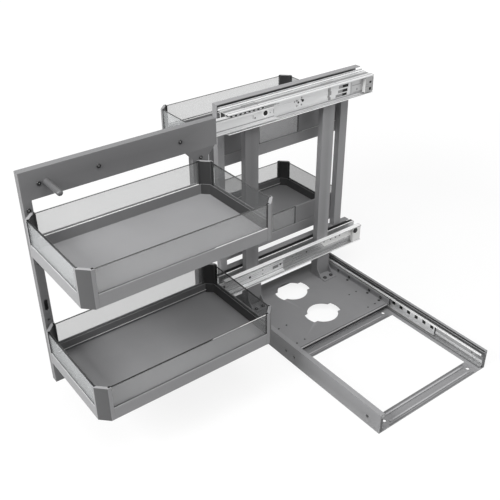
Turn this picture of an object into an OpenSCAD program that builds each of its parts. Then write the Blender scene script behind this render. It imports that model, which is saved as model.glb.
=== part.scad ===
/* [Floor frame] */
// Width across the two floor rails
frame_w = 340; // [300:5:420]
// Length of the floor rails
frame_l = 570; // [520:5:620]
// Height of the floor rails
floor_rail_h = 50; // [46:1:70]
// Sheet thickness of rails, bars and plate
sheet_t = 2; // [1.5:0.25:3]
// Width of the lip folded in at the top of a floor rail
rail_lip = 12; // [6:1:14]
// Width of the flange that lies on the floor
floor_flange = 21; // [16:1:30]
// Width of a cross bar
bar_w = 38; // [30:1:50]
// Height of the pressed ribs on a cross bar
rib_h = 2; // [1:0.5:4]
// Width of a pressed rib
rib_w = 5; // [3:0.5:8]
// Distance of the middle bar behind the frame centre
middle_bar_y = 0; // [-60:1:40]
// Diameter of the floor screw holes
floor_hole_d = 8; // [5:0.5:10]
// Distance of the floor screw holes from the outside of the frame
floor_hole_inset = 35; // [30:1:60]

/* [Floor slides] */
// Height of a floor slide
floor_slide_h = 35; // [32:1:38]
// Depth of a floor slide
floor_slide_d = 12; // [11:0.5:14]
// Height of the slide above the floor flange
floor_slide_lift = 3; // [1:0.5:6]
// Diameter of the floor slide balls
floor_ball_d = 4; // [3:0.25:4.5]
// Length of a floor ball cage
floor_cage_l = 420; // [340:10:420]
// Pitch of the windows in a floor ball cage
window_pitch = 25; // [20:1:30]

/* [Carriage] */
// Length of the carriage plate
plate_l = 263; // [245:1:275]
// Distance of the plate's rear edge from the rear end of the frame
plate_inset = 19; // [10:0.5:24]
// Height of the plate's top above the floor
plate_z = 19; // [17:0.5:22]
// Height of the side flanges above the plate
plate_flange_h = 14; // [10:1:15]
// Travel of the carriage towards the front
carriage_travel = 270; // [200:5:275]
// Radius of the round part of a plate cut-out
cutout_r = 38.5; // [25:0.5:45]
// Radius to the ends of the cut-out's two ears
cutout_ear_r = 47; // [42:0.5:55]
// Width of the cut-out's ears
cutout_ear_w = 38; // [20:1:50]
// Distance between the two cut-outs
cutout_pitch = 117; // [100:1:125]

/* [Posts] */
// Width of a post
post_w = 37; // [30:1:45]
// Depth of a post
post_d = 16; // [14:1:20]
// Wall of the post tube
post_t = 1.5; // [1:0.25:2]
// Distance between the two post centres
post_pitch = 230; // [180:2:240]
// Distance of the posts' front face behind the frame centre
post_y = 216; // [205:1:224]
// Height of the foot brackets on the plate
foot_h = 58; // [46:1:59]
// How far a foot bracket reaches in front of its post
foot_reach = 40; // [34:1:42]
// Distance between the two screws of a foot
foot_screw_pitch = 21; // [16:1:24]

/* [Telescopic slides] */
// Length of the fixed slide member
slide_l = 450; // [440:5:470]
// Height of the fixed slide member
slide_h = 45.5; // [44:0.5:48]
// Depth of the fixed slide member
slide_d = 12.5; // [12:0.5:14]
// Metal thickness of the slide members
slide_t = 1.5; // [1:0.25:1.75]
// Diameter of the slide balls
ball_d = 3.2; // [2.5:0.1:3.5]
// How much shorter the middle slide member is than the fixed one
middle_short = 40; // [38:1:70]
// How far the front upper middle member stands left of mid travel
upper_middle_lag = 26; // [0:1:30]
// How far the front lower middle member stands right of mid travel
lower_middle_lead = 9; // [0:1:9]
// How much shorter the moving slide member is than the middle one
runner_short = 24; // [22:1:50]
// Sideways travel of a basket unit
unit_travel = 468; // [400:2:470]
// Height of the lower slides' centre line
lower_slide_z = 104; // [102:1:108]
// Height of the upper slides' centre line
upper_slide_z = 522; // [500:2:560]

/* [Basket units] */
// How much longer a unit's rails are than its baskets
rail_extra = 19; // [13:1:23]
// Height of a unit's rails
rail_h = 58; // [50:1:60]
// Distance of a rail's first screw from its left end
first_rail_screw = 36; // [30:0.5:44]
// Distance of a rail's second screw from its left end
second_rail_screw = 155.5; // [120:0.5:200]
// Distance of a rail's last screw from its right end
last_rail_screw = 88.5; // [60:0.5:120]
// Distance of a runner from the left end of its rail
runner_start = 18; // [10:1:24]
// Depth of a unit's rails and uprights
rail_d = 16.5; // [14:0.5:20]
// Wall of the rail and upright tubes
tube_t = 1.5; // [1:0.25:2]
// Width of the left uprights
left_upright_w = 17.5; // [14:0.5:20]
// Width of the front unit's right upright
front_right_w = 38; // [20:1:40]
// Width of the rear unit's right upright
rear_right_w = 24; // [20:1:40]
// Distance of the front right upright's centre from the rail's right end
front_right_inset = 41.5; // [40:0.5:50]
// Distance of the rear right upright's centre from the rail's right end
rear_right_inset = 44.5; // [40:0.5:50]
// Height of the flared plate at the top of a right upright
flare_h = 19; // [10:1:25]
// How far the flared plate reaches out on each side
flare_w = 18; // [8:1:20]
// Length of the peg on the front unit
peg_l = 63; // [40:1:70]
// Diameter of the peg
peg_d = 12; // [8:0.5:16]

/* [Baskets] */
// Length of a basket
basket_l = 407; // [380:1:408]
// Depth of a basket
basket_w = 241; // [200:1:260]
// Height of a basket with its glass
basket_h = 78; // [60:1:90]
// Height of the tray's rim
rim_h = 28; // [22:1:34]
// Width of the folded rim
rim_w = 8; // [7.5:0.5:10]
// Sheet thickness of a tray
tray_t = 1.5; // [1:0.25:1.5]
// Width of the chamfer across a corner, along one side
chamfer = 18.7; // [12:0.1:22]
// Length of a corner post along each side
corner_l = 26; // [24:0.5:32]
// Thickness of the glass panels
glass_t = 4; // [3:0.5:4]
// How far the glass stands below the top of the corner posts
glass_drop = 1.5; // [0:0.5:5]
// How far a front basket reaches past the left end of its rail
front_overhang = 8; // [0:1:12]
// How far a rear basket reaches past the left end of its rail
rear_overhang = 0; // [0:1:12]
// Length of the solid plate left of the glass in the rear baskets' inner wall
left_plate_l = 130; // [60:1:150]
// Length of the solid plate right of the glass in the rear baskets' inner wall
right_plate_l = 157; // [60:1:170]
// Height of the lower baskets' underside
lower_basket_z = 142; // [140:1:150]
// Height of the upper baskets' underside
upper_basket_z = 396; // [350:2:420]

/* [Hidden] */

$fn = 48;
// Overshoot of a cut past the face it opens
cut = 1;
// Play between a ball and its races
race_gap = 0.1;
// Play between sliding faces of a slide
slide_gap = 0.3;
// Play of a screw in its hole
screw_gap = 0.2;
// Play of a glass panel in its groove
glass_gap = 0.5;
// Thickness of a ball cage's sheet
cage_t = 0.6;
// Width of the lip that turns in at the mouth of a slide
slide_lip = 1.2;
// Distance of a slide's mouth from what its runner carries
mouth_gap = 0.5;

frame_x = frame_w / 2;
frame_y = frame_l / 2;
bar_half_l = frame_x - floor_flange;
end_bar_y = frame_y - bar_w / 2;
floor_hole_x = frame_x - floor_hole_inset;
rib_half_l = floor_hole_x - floor_hole_d / 2 - 3;

slide_wall_x = frame_x - sheet_t;
floor_slide_z = sheet_t + floor_slide_lift + floor_slide_h / 2;
floor_slide_inset = 3;
floor_slide_l = frame_l - 2 * floor_slide_inset;
floor_runner_half = floor_slide_h / 2 - slide_t - floor_ball_d - 2 * race_gap;
floor_ball_v = floor_slide_h / 2 - slide_t - race_gap - floor_ball_d / 2;
rivet_ys = [-frame_y + 36, -13, 16, frame_y - 36];
rivet_d = 4;
rivet_head_d = 7;
rivet_head_t = 1.2;

plate_back_y = frame_y - plate_inset;
plate_front_y = plate_back_y - plate_l;
plate_x = slide_wall_x - floor_slide_d - mouth_gap;
// The cage stands a quarter of the travel off centre, as it moves half as far as the carriage
floor_cage_y = carriage_travel / 4 - floor_cage_l / 2;
cutout_mid_y = plate_front_y + 134;
screw_d = 4;
screw_head_d = 7.5;
screw_head_t = 2;
plate_screw_ys = [for (v = [26, 67, 142, 183]) plate_front_y + v];
plate_hole_ys = [for (v = [22, 90]) plate_front_y + v];
plate_screw_z = plate_z + plate_flange_h / 2;
plate_hole_d = 4.5;

post_top = upper_slide_z + slide_h / 2;
foot_t = 2.5;
foot_rib_t = 2;
foot_screw_d = 5;
foot_screw_head_d = 10;
foot_screw_head_t = 3;
foot_screw_y = post_y - 30;
foot_web_y = post_y - 8.5;
foot_gusset_y = foot_screw_y + 4;
foot_gusset_h = 24;

front_face = post_y;
rear_face = post_y + post_d;
slide_x0 = -205;
middle_half = slide_h / 2 - slide_t - ball_d - 2 * race_gap;
runner_half = middle_half - slide_t - ball_d - 2 * race_gap;
outer_ball_v = slide_h / 2 - slide_t - race_gap - ball_d / 2;
inner_ball_v = middle_half - slide_t - race_gap - ball_d / 2;
outer_cage_u = slide_t + slide_gap;
middle_u = outer_cage_u + cage_t + slide_gap;
inner_cage_u = middle_u + slide_t + slide_gap;
runner_u = inner_cage_u + cage_t + slide_gap;
runner_face = slide_d + mouth_gap;
rail_seat_half = runner_half + 2;
middle_l = slide_l - middle_short;
runner_l = middle_l - runner_short;
rail_l = basket_l + rail_extra;
rail_x0 = -188;
rail_x1 = rail_x0 + rail_l;
runner_x0 = rail_x0 + runner_start;
// Each cage stays a little inside the overlap of its two members at full travel
outer_cage_l = middle_l - unit_travel / 2 - 22;
inner_cage_l = runner_x0 + runner_l - slide_x0 - unit_travel / 2 - 13;
ball_u = (middle_u + slide_d - slide_t) / 2 + 1;
inner_ball_u = (runner_u + slide_d) / 2;
floor_ball_u = floor_slide_d / 2 + 0.5;
row_balls = 5;
outer_cage_start = 5;
inner_cage_start = 11;
middle_hole_d = 16;
middle_hole_inset = 54;
stop_gap = 1;
stop_x0 = runner_x0 + runner_l + stop_gap;
end_stop_l = slide_x0 + slide_l - stop_x0;
soft_close_l = 76;
soft_close_h = 28;
soft_close_x0 = slide_x0 + outer_cage_start + unit_travel / 4 + outer_cage_l + 31;
slide_hole_v = 6;
// Small holes in a fixed slide, from its right end
slide_hole_us = [10, 55, 219, 233];
bumper_d = 15;
bumper_z = 12;
bumper_inset = 8;

rail_lift = 4;

// The upper rails stand a little above their slides, and the lower ones as much below
function rail_z(z) = z > lower_slide_z ? z + rail_lift : z - rail_lift;

front_unit_y = front_face - runner_face - rail_d;
rear_unit_y = rear_face + runner_face;
rail_screw_xs = [rail_x0 + first_rail_screw, rail_x0 + second_rail_screw, rail_x1 - last_rail_screw];
upright_screw_z = upper_slide_z + rail_lift - rail_h / 2 - 18;
slot_w = 8;
slot_l = 26;
slot_z = 267;
upright_hole_d = 5;
upright_hole_zs = [231, 363];
peg_x = rail_x0 + 50;

front_basket_y = front_unit_y - basket_w;
rear_basket_y = rear_unit_y + rail_d;
shelf_z = rim_h - 12;
inner_rim_drop = 2;
floor_lift = 1.5;
glass_inset = tray_t + glass_gap;
groove_deep = 5;
basket_zs = [lower_basket_z, upper_basket_z];
slide_zs = [lower_slide_z, upper_slide_z];

// Where the sliding parts of a unit stand when it is pushed to the left by a share of its travel
front_open = -unit_travel;
rear_open = 0;

paint = [0.40, 0.40, 0.41];
dark_paint = [0.28, 0.28, 0.29];
zinc = [0.78, 0.79, 0.80];
black = [0.08, 0.08, 0.08];
white = [0.92, 0.92, 0.90];
smoke = [0.70, 0.72, 0.75, 0.45];

// Extrudes a profile along X: its x runs along Y and its y runs along Z
module along_x(x0, length) {
    translate([x0, 0, 0]) rotate([90, 0, 90]) linear_extrude(length) children();
}

// Extrudes a profile along Y: its x stays X and its y runs along Z
module along_y(y0, length) {
    translate([0, y0 + length, 0]) rotate([90, 0, 0]) linear_extrude(length) children();
}

// Open channel with its web at the left and lips at its mouth
module channel_profile(half, depth, t, lip) {
    difference() {
        translate([0, -half]) square([depth, 2 * half]);
        translate([t, -half + t]) square([depth - 2 * t, 2 * (half - t)]);
        translate([depth - t - cut, -half + t + lip]) square([t + 2 * cut, 2 * (half - t - lip)]);
    }
}

// Moving member: its web closes the mouth side and its flanges reach back to u0
module runner_profile(half, u0, face, t) {
    difference() {
        translate([u0, -half]) square([face - u0, 2 * half]);
        translate([u0 - cut, -half + t]) square([face - t - u0 + cut, 2 * (half - t)]);
    }
}

// Middle member: its web is at u0 and its flanges reach the mouth
module middle_profile(half, u0, depth, t) {
    difference() {
        translate([u0, -half]) square([depth - u0, 2 * half]);
        translate([u0 + t, -half + t]) square([depth, 2 * (half - t)]);
    }
}

// Cage profile: a thin web at u0 with a flange along each row of balls
module cage_profile(v, u0, u1) {
    translate([u0, -v - cage_t / 2]) square([cage_t, 2 * v + cage_t]);
    for (s = [-1, 1]) translate([u0, s * v - cage_t / 2]) square([u1 - u0, cage_t]);
}

// Round screw with a flat head that lies under z = 0 and a shank that points up
module screw(d, head_d, head_t, length) {
    translate([0, 0, -head_t]) cylinder(d = head_d, h = head_t);
    cylinder(d = d, h = length);
}

module rect_tube(size, t) {
    difference() {
        cube(size);
        translate([t, t, -cut]) cube([size[0] - 2 * t, size[1] - 2 * t, size[2] + 2 * cut]);
    }
}

// Floor frame

module floor_rail(side) {
    color(paint) difference() {
        along_y(-frame_y, frame_l) mirror([side < 0 ? 0 : 1, 0]) translate([-frame_x, 0]) {
            square([sheet_t, floor_rail_h]);
            square([floor_flange, sheet_t]);
            translate([0, floor_rail_h - sheet_t]) square([rail_lip, sheet_t]);
        }
        for (y = rivet_ys) translate([side * frame_x, y, floor_slide_z])
            rotate([0, 90, 0]) cylinder(d = rivet_d, h = 3 * floor_slide_d, center = true);
    }
}

module cross_bar(y) {
    color(paint) difference() {
        translate([-bar_half_l, y - bar_w / 2, 0]) union() {
            cube([2 * bar_half_l, bar_w, sheet_t]);
            for (s = [0.25, 0.75]) translate([bar_half_l - rib_half_l, s * bar_w - rib_w / 2, sheet_t / 2])
                cube([2 * rib_half_l, rib_w, sheet_t / 2 + rib_h]);
        }
        for (s = [-1, 1]) translate([s * floor_hole_x, y, -cut])
            cylinder(d = floor_hole_d, h = sheet_t + 2 * cut);
    }
}

// Turns the floor slide profiles to the wall on one side
module floor_side(side, y0, length) {
    along_y(y0, length) mirror([side < 0 ? 0 : 1, 0]) translate([-slide_wall_x, floor_slide_z]) children();
}

module floor_slide(side) {
    color(zinc) difference() {
        floor_side(side, -frame_y + floor_slide_inset, floor_slide_l)
            channel_profile(floor_slide_h / 2, floor_slide_d, slide_t, slide_lip);
        for (y = rivet_ys) translate([side * slide_wall_x, y, floor_slide_z])
            rotate([0, 90, 0]) cylinder(d = rivet_d, h = 3 * slide_t, center = true);
    }
}

module floor_slide_rivets() {
    color(dark_paint) for (side = [-1, 1], y = rivet_ys)
        translate([side * frame_x, y, floor_slide_z]) rotate([0, -side * 90, 0])
            screw(rivet_d, rivet_head_d, rivet_head_t, sheet_t + slide_t);
}

module floor_ball_cage(side) {
    windows = floor(floor_cage_l / window_pitch) - 1;
    wall_x = side * slide_wall_x;
    ball_x = wall_x - side * floor_ball_u;
    ball_pitch = (floor_cage_l - 2 * window_pitch) / row_balls;
    ball_ys = [for (k = [0 : row_balls]) floor_cage_y + window_pitch + k * ball_pitch];
    color(zinc) difference() {
        floor_side(side, floor_cage_y, floor_cage_l)
            cage_profile(floor_ball_v, outer_cage_u, floor_slide_d - 3);
        for (k = [0 : windows])
            translate([wall_x - side * outer_cage_u, floor_cage_y + window_pitch * (k + 0.5), floor_slide_z])
                cube([4 * cage_t, 10, 9], center = true);
        for (y = ball_ys, s = [-1, 1]) translate([ball_x, y, floor_slide_z + s * floor_ball_v])
            cylinder(d = floor_ball_d + 2 * race_gap, h = 4 * cage_t, center = true);
    }
    color(zinc) for (y = ball_ys, s = [-1, 1])
        translate([ball_x, y, floor_slide_z + s * floor_ball_v]) sphere(d = floor_ball_d);
}

// Carriage

module cutout_shape() {
    circle(r = cutout_r);
    intersection() {
        circle(r = cutout_ear_r);
        square([3 * cutout_ear_r, cutout_ear_w], center = true);
    }
}

module carriage_plate() {
    color(paint) difference() {
        along_y(plate_front_y, plate_l)
            polygon([[-plate_x, plate_z - sheet_t], [plate_x, plate_z - sheet_t],
                [plate_x, plate_z + plate_flange_h], [plate_x - sheet_t, plate_z + plate_flange_h],
                [plate_x - sheet_t, plate_z], [sheet_t - plate_x, plate_z],
                [sheet_t - plate_x, plate_z + plate_flange_h], [-plate_x, plate_z + plate_flange_h]]);
        for (s = [-1, 1]) translate([0, cutout_mid_y + s * cutout_pitch / 2, plate_z - sheet_t - cut])
            linear_extrude(sheet_t + 2 * cut) cutout_shape();
        for (side = [-1, 1], y = plate_screw_ys) translate([side * plate_x, y, plate_screw_z])
            rotate([0, 90, 0]) cylinder(d = screw_d + screw_gap, h = 4 * sheet_t, center = true);
        for (side = [-1, 1], x = [105, 129], y = plate_hole_ys)
            translate([side * x, y, plate_z - sheet_t - cut]) cylinder(d = plate_hole_d, h = sheet_t + 2 * cut);
        for (side = [-1, 1], s = [-1, 1])
            translate([side * post_pitch / 2 + s * foot_screw_pitch / 2, foot_screw_y, plate_z - sheet_t - cut])
                cylinder(d = foot_screw_d + screw_gap, h = sheet_t + 2 * cut);
    }
}

module carriage_runner(side) {
    color(zinc) difference() {
        floor_side(side, plate_front_y, plate_l)
            runner_profile(floor_runner_half, runner_u - slide_t, floor_slide_d + mouth_gap, slide_t);
        for (y = plate_screw_ys) translate([side * plate_x, y, plate_screw_z])
            rotate([0, 90, 0]) cylinder(d = screw_d + screw_gap, h = 4 * sheet_t, center = true);
    }
}

module carriage_screws() {
    color(black) for (side = [-1, 1], y = plate_screw_ys)
        translate([side * (plate_x - sheet_t), y, plate_screw_z]) rotate([0, side * 90, 0])
            screw(screw_d, screw_head_d, screw_head_t, sheet_t + slide_t);
}

module post(side) {
    x = side * post_pitch / 2 - post_w / 2;
    color(paint) difference() {
        translate([x, post_y, plate_z]) rect_tube([post_w, post_d, post_top - plate_z], post_t);
        for (z = slide_zs, y = [front_face, rear_face]) translate([side * post_pitch / 2, y, z])
            rotate([90, 0, 0]) cylinder(d = screw_d + screw_gap, h = 3 * post_t, center = true);
    }
}

module post_foot(side) {
    x = side * post_pitch / 2;
    y0 = post_y - foot_reach;
    color(paint) difference() {
        union() {
            translate([x - post_w / 2 - foot_rib_t, y0, plate_z])
                cube([post_w + 2 * foot_rib_t, foot_reach, foot_t]);
            for (s = [-1, 1]) translate([x + s * (post_w / 2 + foot_rib_t / 2) - foot_rib_t / 2, 0, 0])
                along_x(0, foot_rib_t) polygon([[foot_gusset_y, plate_z], [post_y + post_d, plate_z],
                    [post_y + post_d, plate_z + foot_h], [foot_web_y, plate_z + foot_h],
                    [foot_web_y, plate_z + foot_gusset_h], [foot_gusset_y, plate_z + foot_t + 2]]);
            translate([x - post_w / 2 - foot_rib_t, foot_web_y, plate_z])
                cube([post_w + 2 * foot_rib_t, foot_rib_t, foot_h]);
        }
        for (s = [-1, 1]) translate([x + s * foot_screw_pitch / 2, foot_screw_y, plate_z - cut])
            cylinder(d = foot_screw_d + screw_gap, h = foot_t + 2 * cut);
    }
}

module foot_screws() {
    color(black) for (side = [-1, 1], s = [-1, 1])
        translate([side * post_pitch / 2 + s * foot_screw_pitch / 2, foot_screw_y, plate_z + foot_t])
            rotate([180, 0, 0]) screw(foot_screw_d, foot_screw_head_d, foot_screw_head_t, foot_t + sheet_t);
}

// Telescopic slides: dir is -1 on the front of the posts and 1 on their rear

function slide_face(dir) = dir < 0 ? front_face : rear_face;

// Places a slide profile on the posts, mouth outwards
module on_posts(dir, x0, length, z) {
    translate([0, slide_face(dir), z]) along_x(x0, length) mirror([dir < 0 ? 1 : 0, 0]) children();
}

module fixed_slide(dir, z) {
    color(zinc) difference() {
        on_posts(dir, slide_x0, slide_l, z) channel_profile(slide_h / 2, slide_d, slide_t, slide_lip);
        for (side = [-1, 1]) translate([side * post_pitch / 2, slide_face(dir), z])
            rotate([90, 0, 0]) cylinder(d = screw_head_d + 2 * screw_gap, h = 3 * slide_t, center = true);
        for (u = slide_hole_us, v = [-1, 1])
            translate([slide_x0 + slide_l - u, slide_face(dir), z + v * slide_hole_v])
                rotate([90, 0, 0]) cylinder(d = plate_hole_d, h = 3 * slide_t, center = true);
    }
}

module slide_screws() {
    color(zinc) for (dir = [-1, 1], side = [-1, 1], z = slide_zs)
        translate([side * post_pitch / 2, slide_face(dir), z]) rotate([dir * 90, 0, 0])
            screw(screw_d, screw_head_d, slide_t, post_t);
}

module middle_slide(dir, z, open, shift) {
    x0 = slide_x0 + open / 2 + shift;
    color(zinc) difference() {
        on_posts(dir, x0, middle_l, z) middle_profile(middle_half, middle_u, slide_d - slide_gap, slide_t);
        translate([x0 + middle_l - middle_hole_inset, slide_face(dir) + dir * middle_u, z])
            rotate([90, 0, 0]) cylinder(d = middle_hole_d, h = 4 * slide_t, center = true);
    }
}

module slide_cages(dir, v, u0, u_ball, u1, x0, length) {
    pitch = (length - 20) / (row_balls - 1);
    xs = [for (k = [0 : row_balls - 1]) x0 + 10 + k * pitch];
    y_ball = slide_face(dir) + dir * u_ball;
    color(zinc) for (z = slide_zs) {
        difference() {
            on_posts(dir, x0, length, z) cage_profile(v, u0, u1);
            for (x = xs, s = [-1, 1]) translate([x, y_ball, z + s * v])
                cylinder(d = ball_d + 2 * race_gap, h = 4 * cage_t, center = true);
        }
        for (x = xs, s = [-1, 1]) translate([x, y_ball, z + s * v]) sphere(d = ball_d);
    }
}

module outer_ball_cages(dir, open) {
    x0 = slide_x0 + outer_cage_start + unit_travel / 4 + open / 4;
    slide_cages(dir, outer_ball_v, outer_cage_u, ball_u, slide_d - 2, x0, outer_cage_l);
}

module inner_ball_cages(dir, open) {
    x0 = slide_x0 + inner_cage_start + unit_travel / 4 + open * 3 / 4;
    slide_cages(dir, inner_ball_v, inner_cage_u, inner_ball_u, slide_d - 2, x0, inner_cage_l);
}

module runner(dir, z, open) {
    color(zinc) difference() {
        on_posts(dir, runner_x0 + open, runner_l, z)
            runner_profile(runner_half, runner_u, runner_face, slide_t);
        for (x = rail_screw_xs) translate([x + open, slide_face(dir) + dir * runner_face, rail_z(z)])
            rotate([90, 0, 0]) cylinder(d = screw_d + screw_gap, h = 4 * slide_t, center = true);
    }
}

module soft_close_units() {
    slot_pitch = soft_close_h / 3;
    color([0.72, 0.73, 0.74]) for (dir = [-1, 1]) difference() {
        on_posts(dir, soft_close_x0, soft_close_l, upper_slide_z)
            translate([slide_t, -soft_close_h / 2]) square([cage_t + slide_gap, soft_close_h]);
        for (v = [-1 : 1])
            translate([soft_close_x0 + soft_close_l * 0.63, slide_face(dir), upper_slide_z + v * slot_pitch])
                cube([soft_close_l * 0.45, 8 * slide_t, 3], center = true);
        translate([post_pitch / 2, slide_face(dir), upper_slide_z])
            rotate([90, 0, 0]) cylinder(d = screw_head_d, h = 6 * slide_t, center = true);
    }
}

module end_stops() {
    inner_half = slide_h / 2 - slide_t;
    color(white) for (dir = [-1, 1]) difference() {
        on_posts(dir, stop_x0, end_stop_l, lower_slide_z)
            translate([slide_t, -inner_half]) square([slide_d - 2 * slide_t, 2 * inner_half]);
        translate([stop_x0 + bumper_inset, slide_face(dir) + dir * slide_d, lower_slide_z + bumper_z])
            rotate([90, 0, 0]) cylinder(d = bumper_d, h = 8, center = true);
    }
}

module end_bumpers() {
    color(black) for (dir = [-1, 1])
        translate([stop_x0 + bumper_inset, slide_face(dir) + dir * (slide_d - 4), lower_slide_z + bumper_z])
            rotate([-dir * 90, 0, 0]) cylinder(d = bumper_d - 0.2, h = 4);
}

// Basket units: y is the front of the unit's rails

function unit_y(dir) = dir < 0 ? front_unit_y : rear_unit_y;
function outer_y(dir) = dir < 0 ? front_unit_y : rear_unit_y + rail_d;
function right_upright_x(dir) = rail_x1 - (dir < 0 ? front_right_inset : rear_right_inset);
function basket_x0(dir) = rail_x0 - (dir < 0 ? front_overhang : rear_overhang);

module unit_rail(dir, z, open) {
    y = unit_y(dir);
    z0 = rail_z(z) - rail_h / 2 + tube_t;
    z1 = z0 + rail_h - 2 * tube_t;
    color(paint) difference() {
        translate([rail_x0 + open, y, rail_z(z) - rail_h / 2]) cube([rail_l, rail_d, rail_h]);
        // The left end stays closed, and two channels open towards the posts beside the runner's seat
        translate([rail_x0 + open + tube_t, y + tube_t, z - rail_seat_half + tube_t])
            cube([rail_l, rail_d - 2 * tube_t, 2 * rail_seat_half - 2 * tube_t]);
        for (span = [[z0, z - rail_seat_half], [z + rail_seat_half, z1]])
            translate([rail_x0 + open + tube_t, dir < 0 ? y + tube_t : y - cut, span[0]])
                cube([rail_l, rail_d - tube_t + cut, span[1] - span[0]]);
        for (x = rail_screw_xs) translate([x + open, y - cut, rail_z(z)])
            rotate([-90, 0, 0]) cylinder(d = screw_d + screw_gap, h = rail_d + 2 * cut);
    }
}

upright_z0 = rail_z(lower_slide_z) + rail_h / 2;
upright_z1 = rail_z(upper_slide_z) - rail_h / 2;

module left_upright(dir, open) {
    y = unit_y(dir);
    x = rail_x0 + open;
    xm = x + left_upright_w / 2;
    color(paint) difference() {
        translate([x, y, upright_z0]) rect_tube([left_upright_w, rail_d, upright_z1 - upright_z0], tube_t);
        for (z = upright_hole_zs) translate([xm, outer_y(dir), z])
            rotate([90, 0, 0]) cylinder(d = upright_hole_d, h = 4 * tube_t, center = true);
        translate([xm, outer_y(dir), slot_z]) rotate([90, 0, 0]) linear_extrude(4 * tube_t, center = true) {
            square([slot_w, slot_l - slot_w], center = true);
            for (s = [-1, 1]) translate([0, s * (slot_l - slot_w) / 2]) circle(d = slot_w);
        }
        translate([xm, outer_y(dir), upright_screw_z])
            rotate([90, 0, 0]) cylinder(d = screw_d + screw_gap, h = 4 * tube_t, center = true);
    }
}

module right_upright(dir, open, width) {
    y = unit_y(dir);
    xm = right_upright_x(dir) + open;
    flare_y = dir < 0 ? y : y + rail_d - tube_t;
    color(paint) difference() {
        union() {
            translate([xm - width / 2, y, upright_z0])
                rect_tube([width, rail_d, upright_z1 - upright_z0], tube_t);
            along_y(flare_y, tube_t) for (s = [-1, 1]) translate([xm, upright_z1])
                polygon([[s * (width / 2 - tube_t), -flare_h], [s * width / 2, -flare_h],
                    [s * (width / 2 + flare_w), 0], [s * (width / 2 - tube_t), 0]]);
        }
        translate([xm, outer_y(dir), upright_screw_z])
            rotate([90, 0, 0]) cylinder(d = screw_d + screw_gap, h = 4 * tube_t, center = true);
    }
}

module frame_screws(dir, open) {
    turn = dir < 0 ? -90 : 90;
    color(black) translate([open, outer_y(dir), 0]) {
        for (x = rail_screw_xs, z = slide_zs) translate([x, 0, rail_z(z)])
            rotate([turn, 0, 0]) screw(screw_d, screw_head_d, screw_head_t, rail_d + slide_t);
        for (x = [rail_x0 + left_upright_w / 2, right_upright_x(dir)]) translate([x, 0, upright_screw_z])
            rotate([turn, 0, 0]) screw(screw_d, screw_head_d, screw_head_t, 2 * tube_t);
    }
}

module front_peg() {
    color(paint) translate([peg_x + front_open, front_unit_y, upper_slide_z + rail_lift]) rotate([90, 0, 0]) {
        cylinder(d = peg_d, h = peg_l - peg_d / 2);
        translate([0, 0, peg_l - peg_d / 2]) sphere(d = peg_d);
    }
}

// Baskets

// Outline of a basket with chamfered corners, drawn in by an inset
module basket_outline(inset) {
    l = basket_l - inset;
    w = basket_w - inset;
    c = chamfer - inset * (2 - sqrt(2));
    polygon([[inset + c, inset], [l - c, inset], [l, inset + c], [l, w - c],
        [l - c, w], [inset + c, w], [inset, w - c], [inset, inset + c]]);
}

module ring(inset_a, inset_b) {
    difference() {
        basket_outline(inset_a);
        basket_outline(inset_b);
    }
}

module corner_squares() {
    for (x = [0, basket_l - corner_l], y = [0, basket_w - corner_l]) translate([x, y]) square(corner_l);
}

module tray_body() {
    translate([0, 0, floor_lift]) linear_extrude(tray_t) basket_outline(rim_w - tray_t);
    linear_extrude(rim_h - inner_rim_drop) ring(rim_w - tray_t, rim_w);
    difference() {
        union() {
            linear_extrude(tray_t) ring(0, rim_w - tray_t);
            linear_extrude(rim_h) ring(0, tray_t);
            translate([0, 0, shelf_z]) linear_extrude(tray_t) ring(tray_t, rim_w - tray_t);
        }
        translate([0, 0, -cut]) linear_extrude(rim_h + 2 * cut) corner_squares();
    }
}

panel_z0 = shelf_z + tray_t;
panel_h = basket_h - glass_drop - panel_z0;
panel_end = corner_l - groove_deep + glass_gap;

// Panel along a basket's length, between two distances from its left end
module long_panel(x0, x1, y) {
    translate([x0, y, panel_z0]) cube([x1 - x0, glass_t, panel_h]);
}

module glass_panels(inner_x0, inner_x1, inner_y, outer_wall_y) {
    long_panel(inner_x0, inner_x1, inner_y);
    long_panel(panel_end, basket_l - panel_end, outer_wall_y);
    for (x = [glass_inset, basket_l - glass_inset - glass_t])
        translate([x, panel_end, panel_z0]) cube([glass_t, basket_w - 2 * panel_end, panel_h]);
}

module corner_posts() {
    end = corner_l - groove_deep;
    groove = glass_t + glass_gap;
    groove_inset = glass_inset - glass_gap / 2;
    difference() {
        linear_extrude(basket_h) intersection() {
            ring(0, rim_w - tray_t);
            corner_squares();
        }
        translate([0, 0, shelf_z]) linear_extrude(basket_h) {
            for (y = [groove_inset, basket_w - groove_inset - groove])
                translate([end, y]) square([basket_l - 2 * end, groove]);
            for (x = [groove_inset, basket_l - groove_inset - groove])
                translate([x, end]) square([groove, basket_w - 2 * end]);
        }
    }
}

// Places a basket of a unit
module at_basket(dir, z, open) {
    translate([basket_x0(dir) + open, dir < 0 ? front_basket_y : rear_basket_y, z]) children();
}

module tray(dir, z, open) {
    color(paint) at_basket(dir, z, open) tray_body();
}

low_panel_y = glass_inset;
high_panel_y = basket_w - glass_inset - glass_t;

module front_glass() {
    color(smoke) for (z = basket_zs) at_basket(-1, z, front_open)
        glass_panels(panel_end, basket_l - panel_end, high_panel_y, low_panel_y);
}

module rear_glass() {
    color(smoke) for (z = basket_zs) at_basket(1, z, rear_open)
        glass_panels(left_plate_l + glass_gap, basket_l - right_plate_l - glass_gap, low_panel_y, high_panel_y);
}

module rear_wall_plates() {
    color(paint) for (z = basket_zs) at_basket(1, z, rear_open) {
        long_panel(panel_end, left_plate_l, low_panel_y);
        long_panel(basket_l - right_plate_l, basket_l - panel_end, low_panel_y);
    }
}

module unit_corner_posts(dir, open) {
    color(dark_paint) for (z = basket_zs) at_basket(dir, z, open) corner_posts();
}

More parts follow.
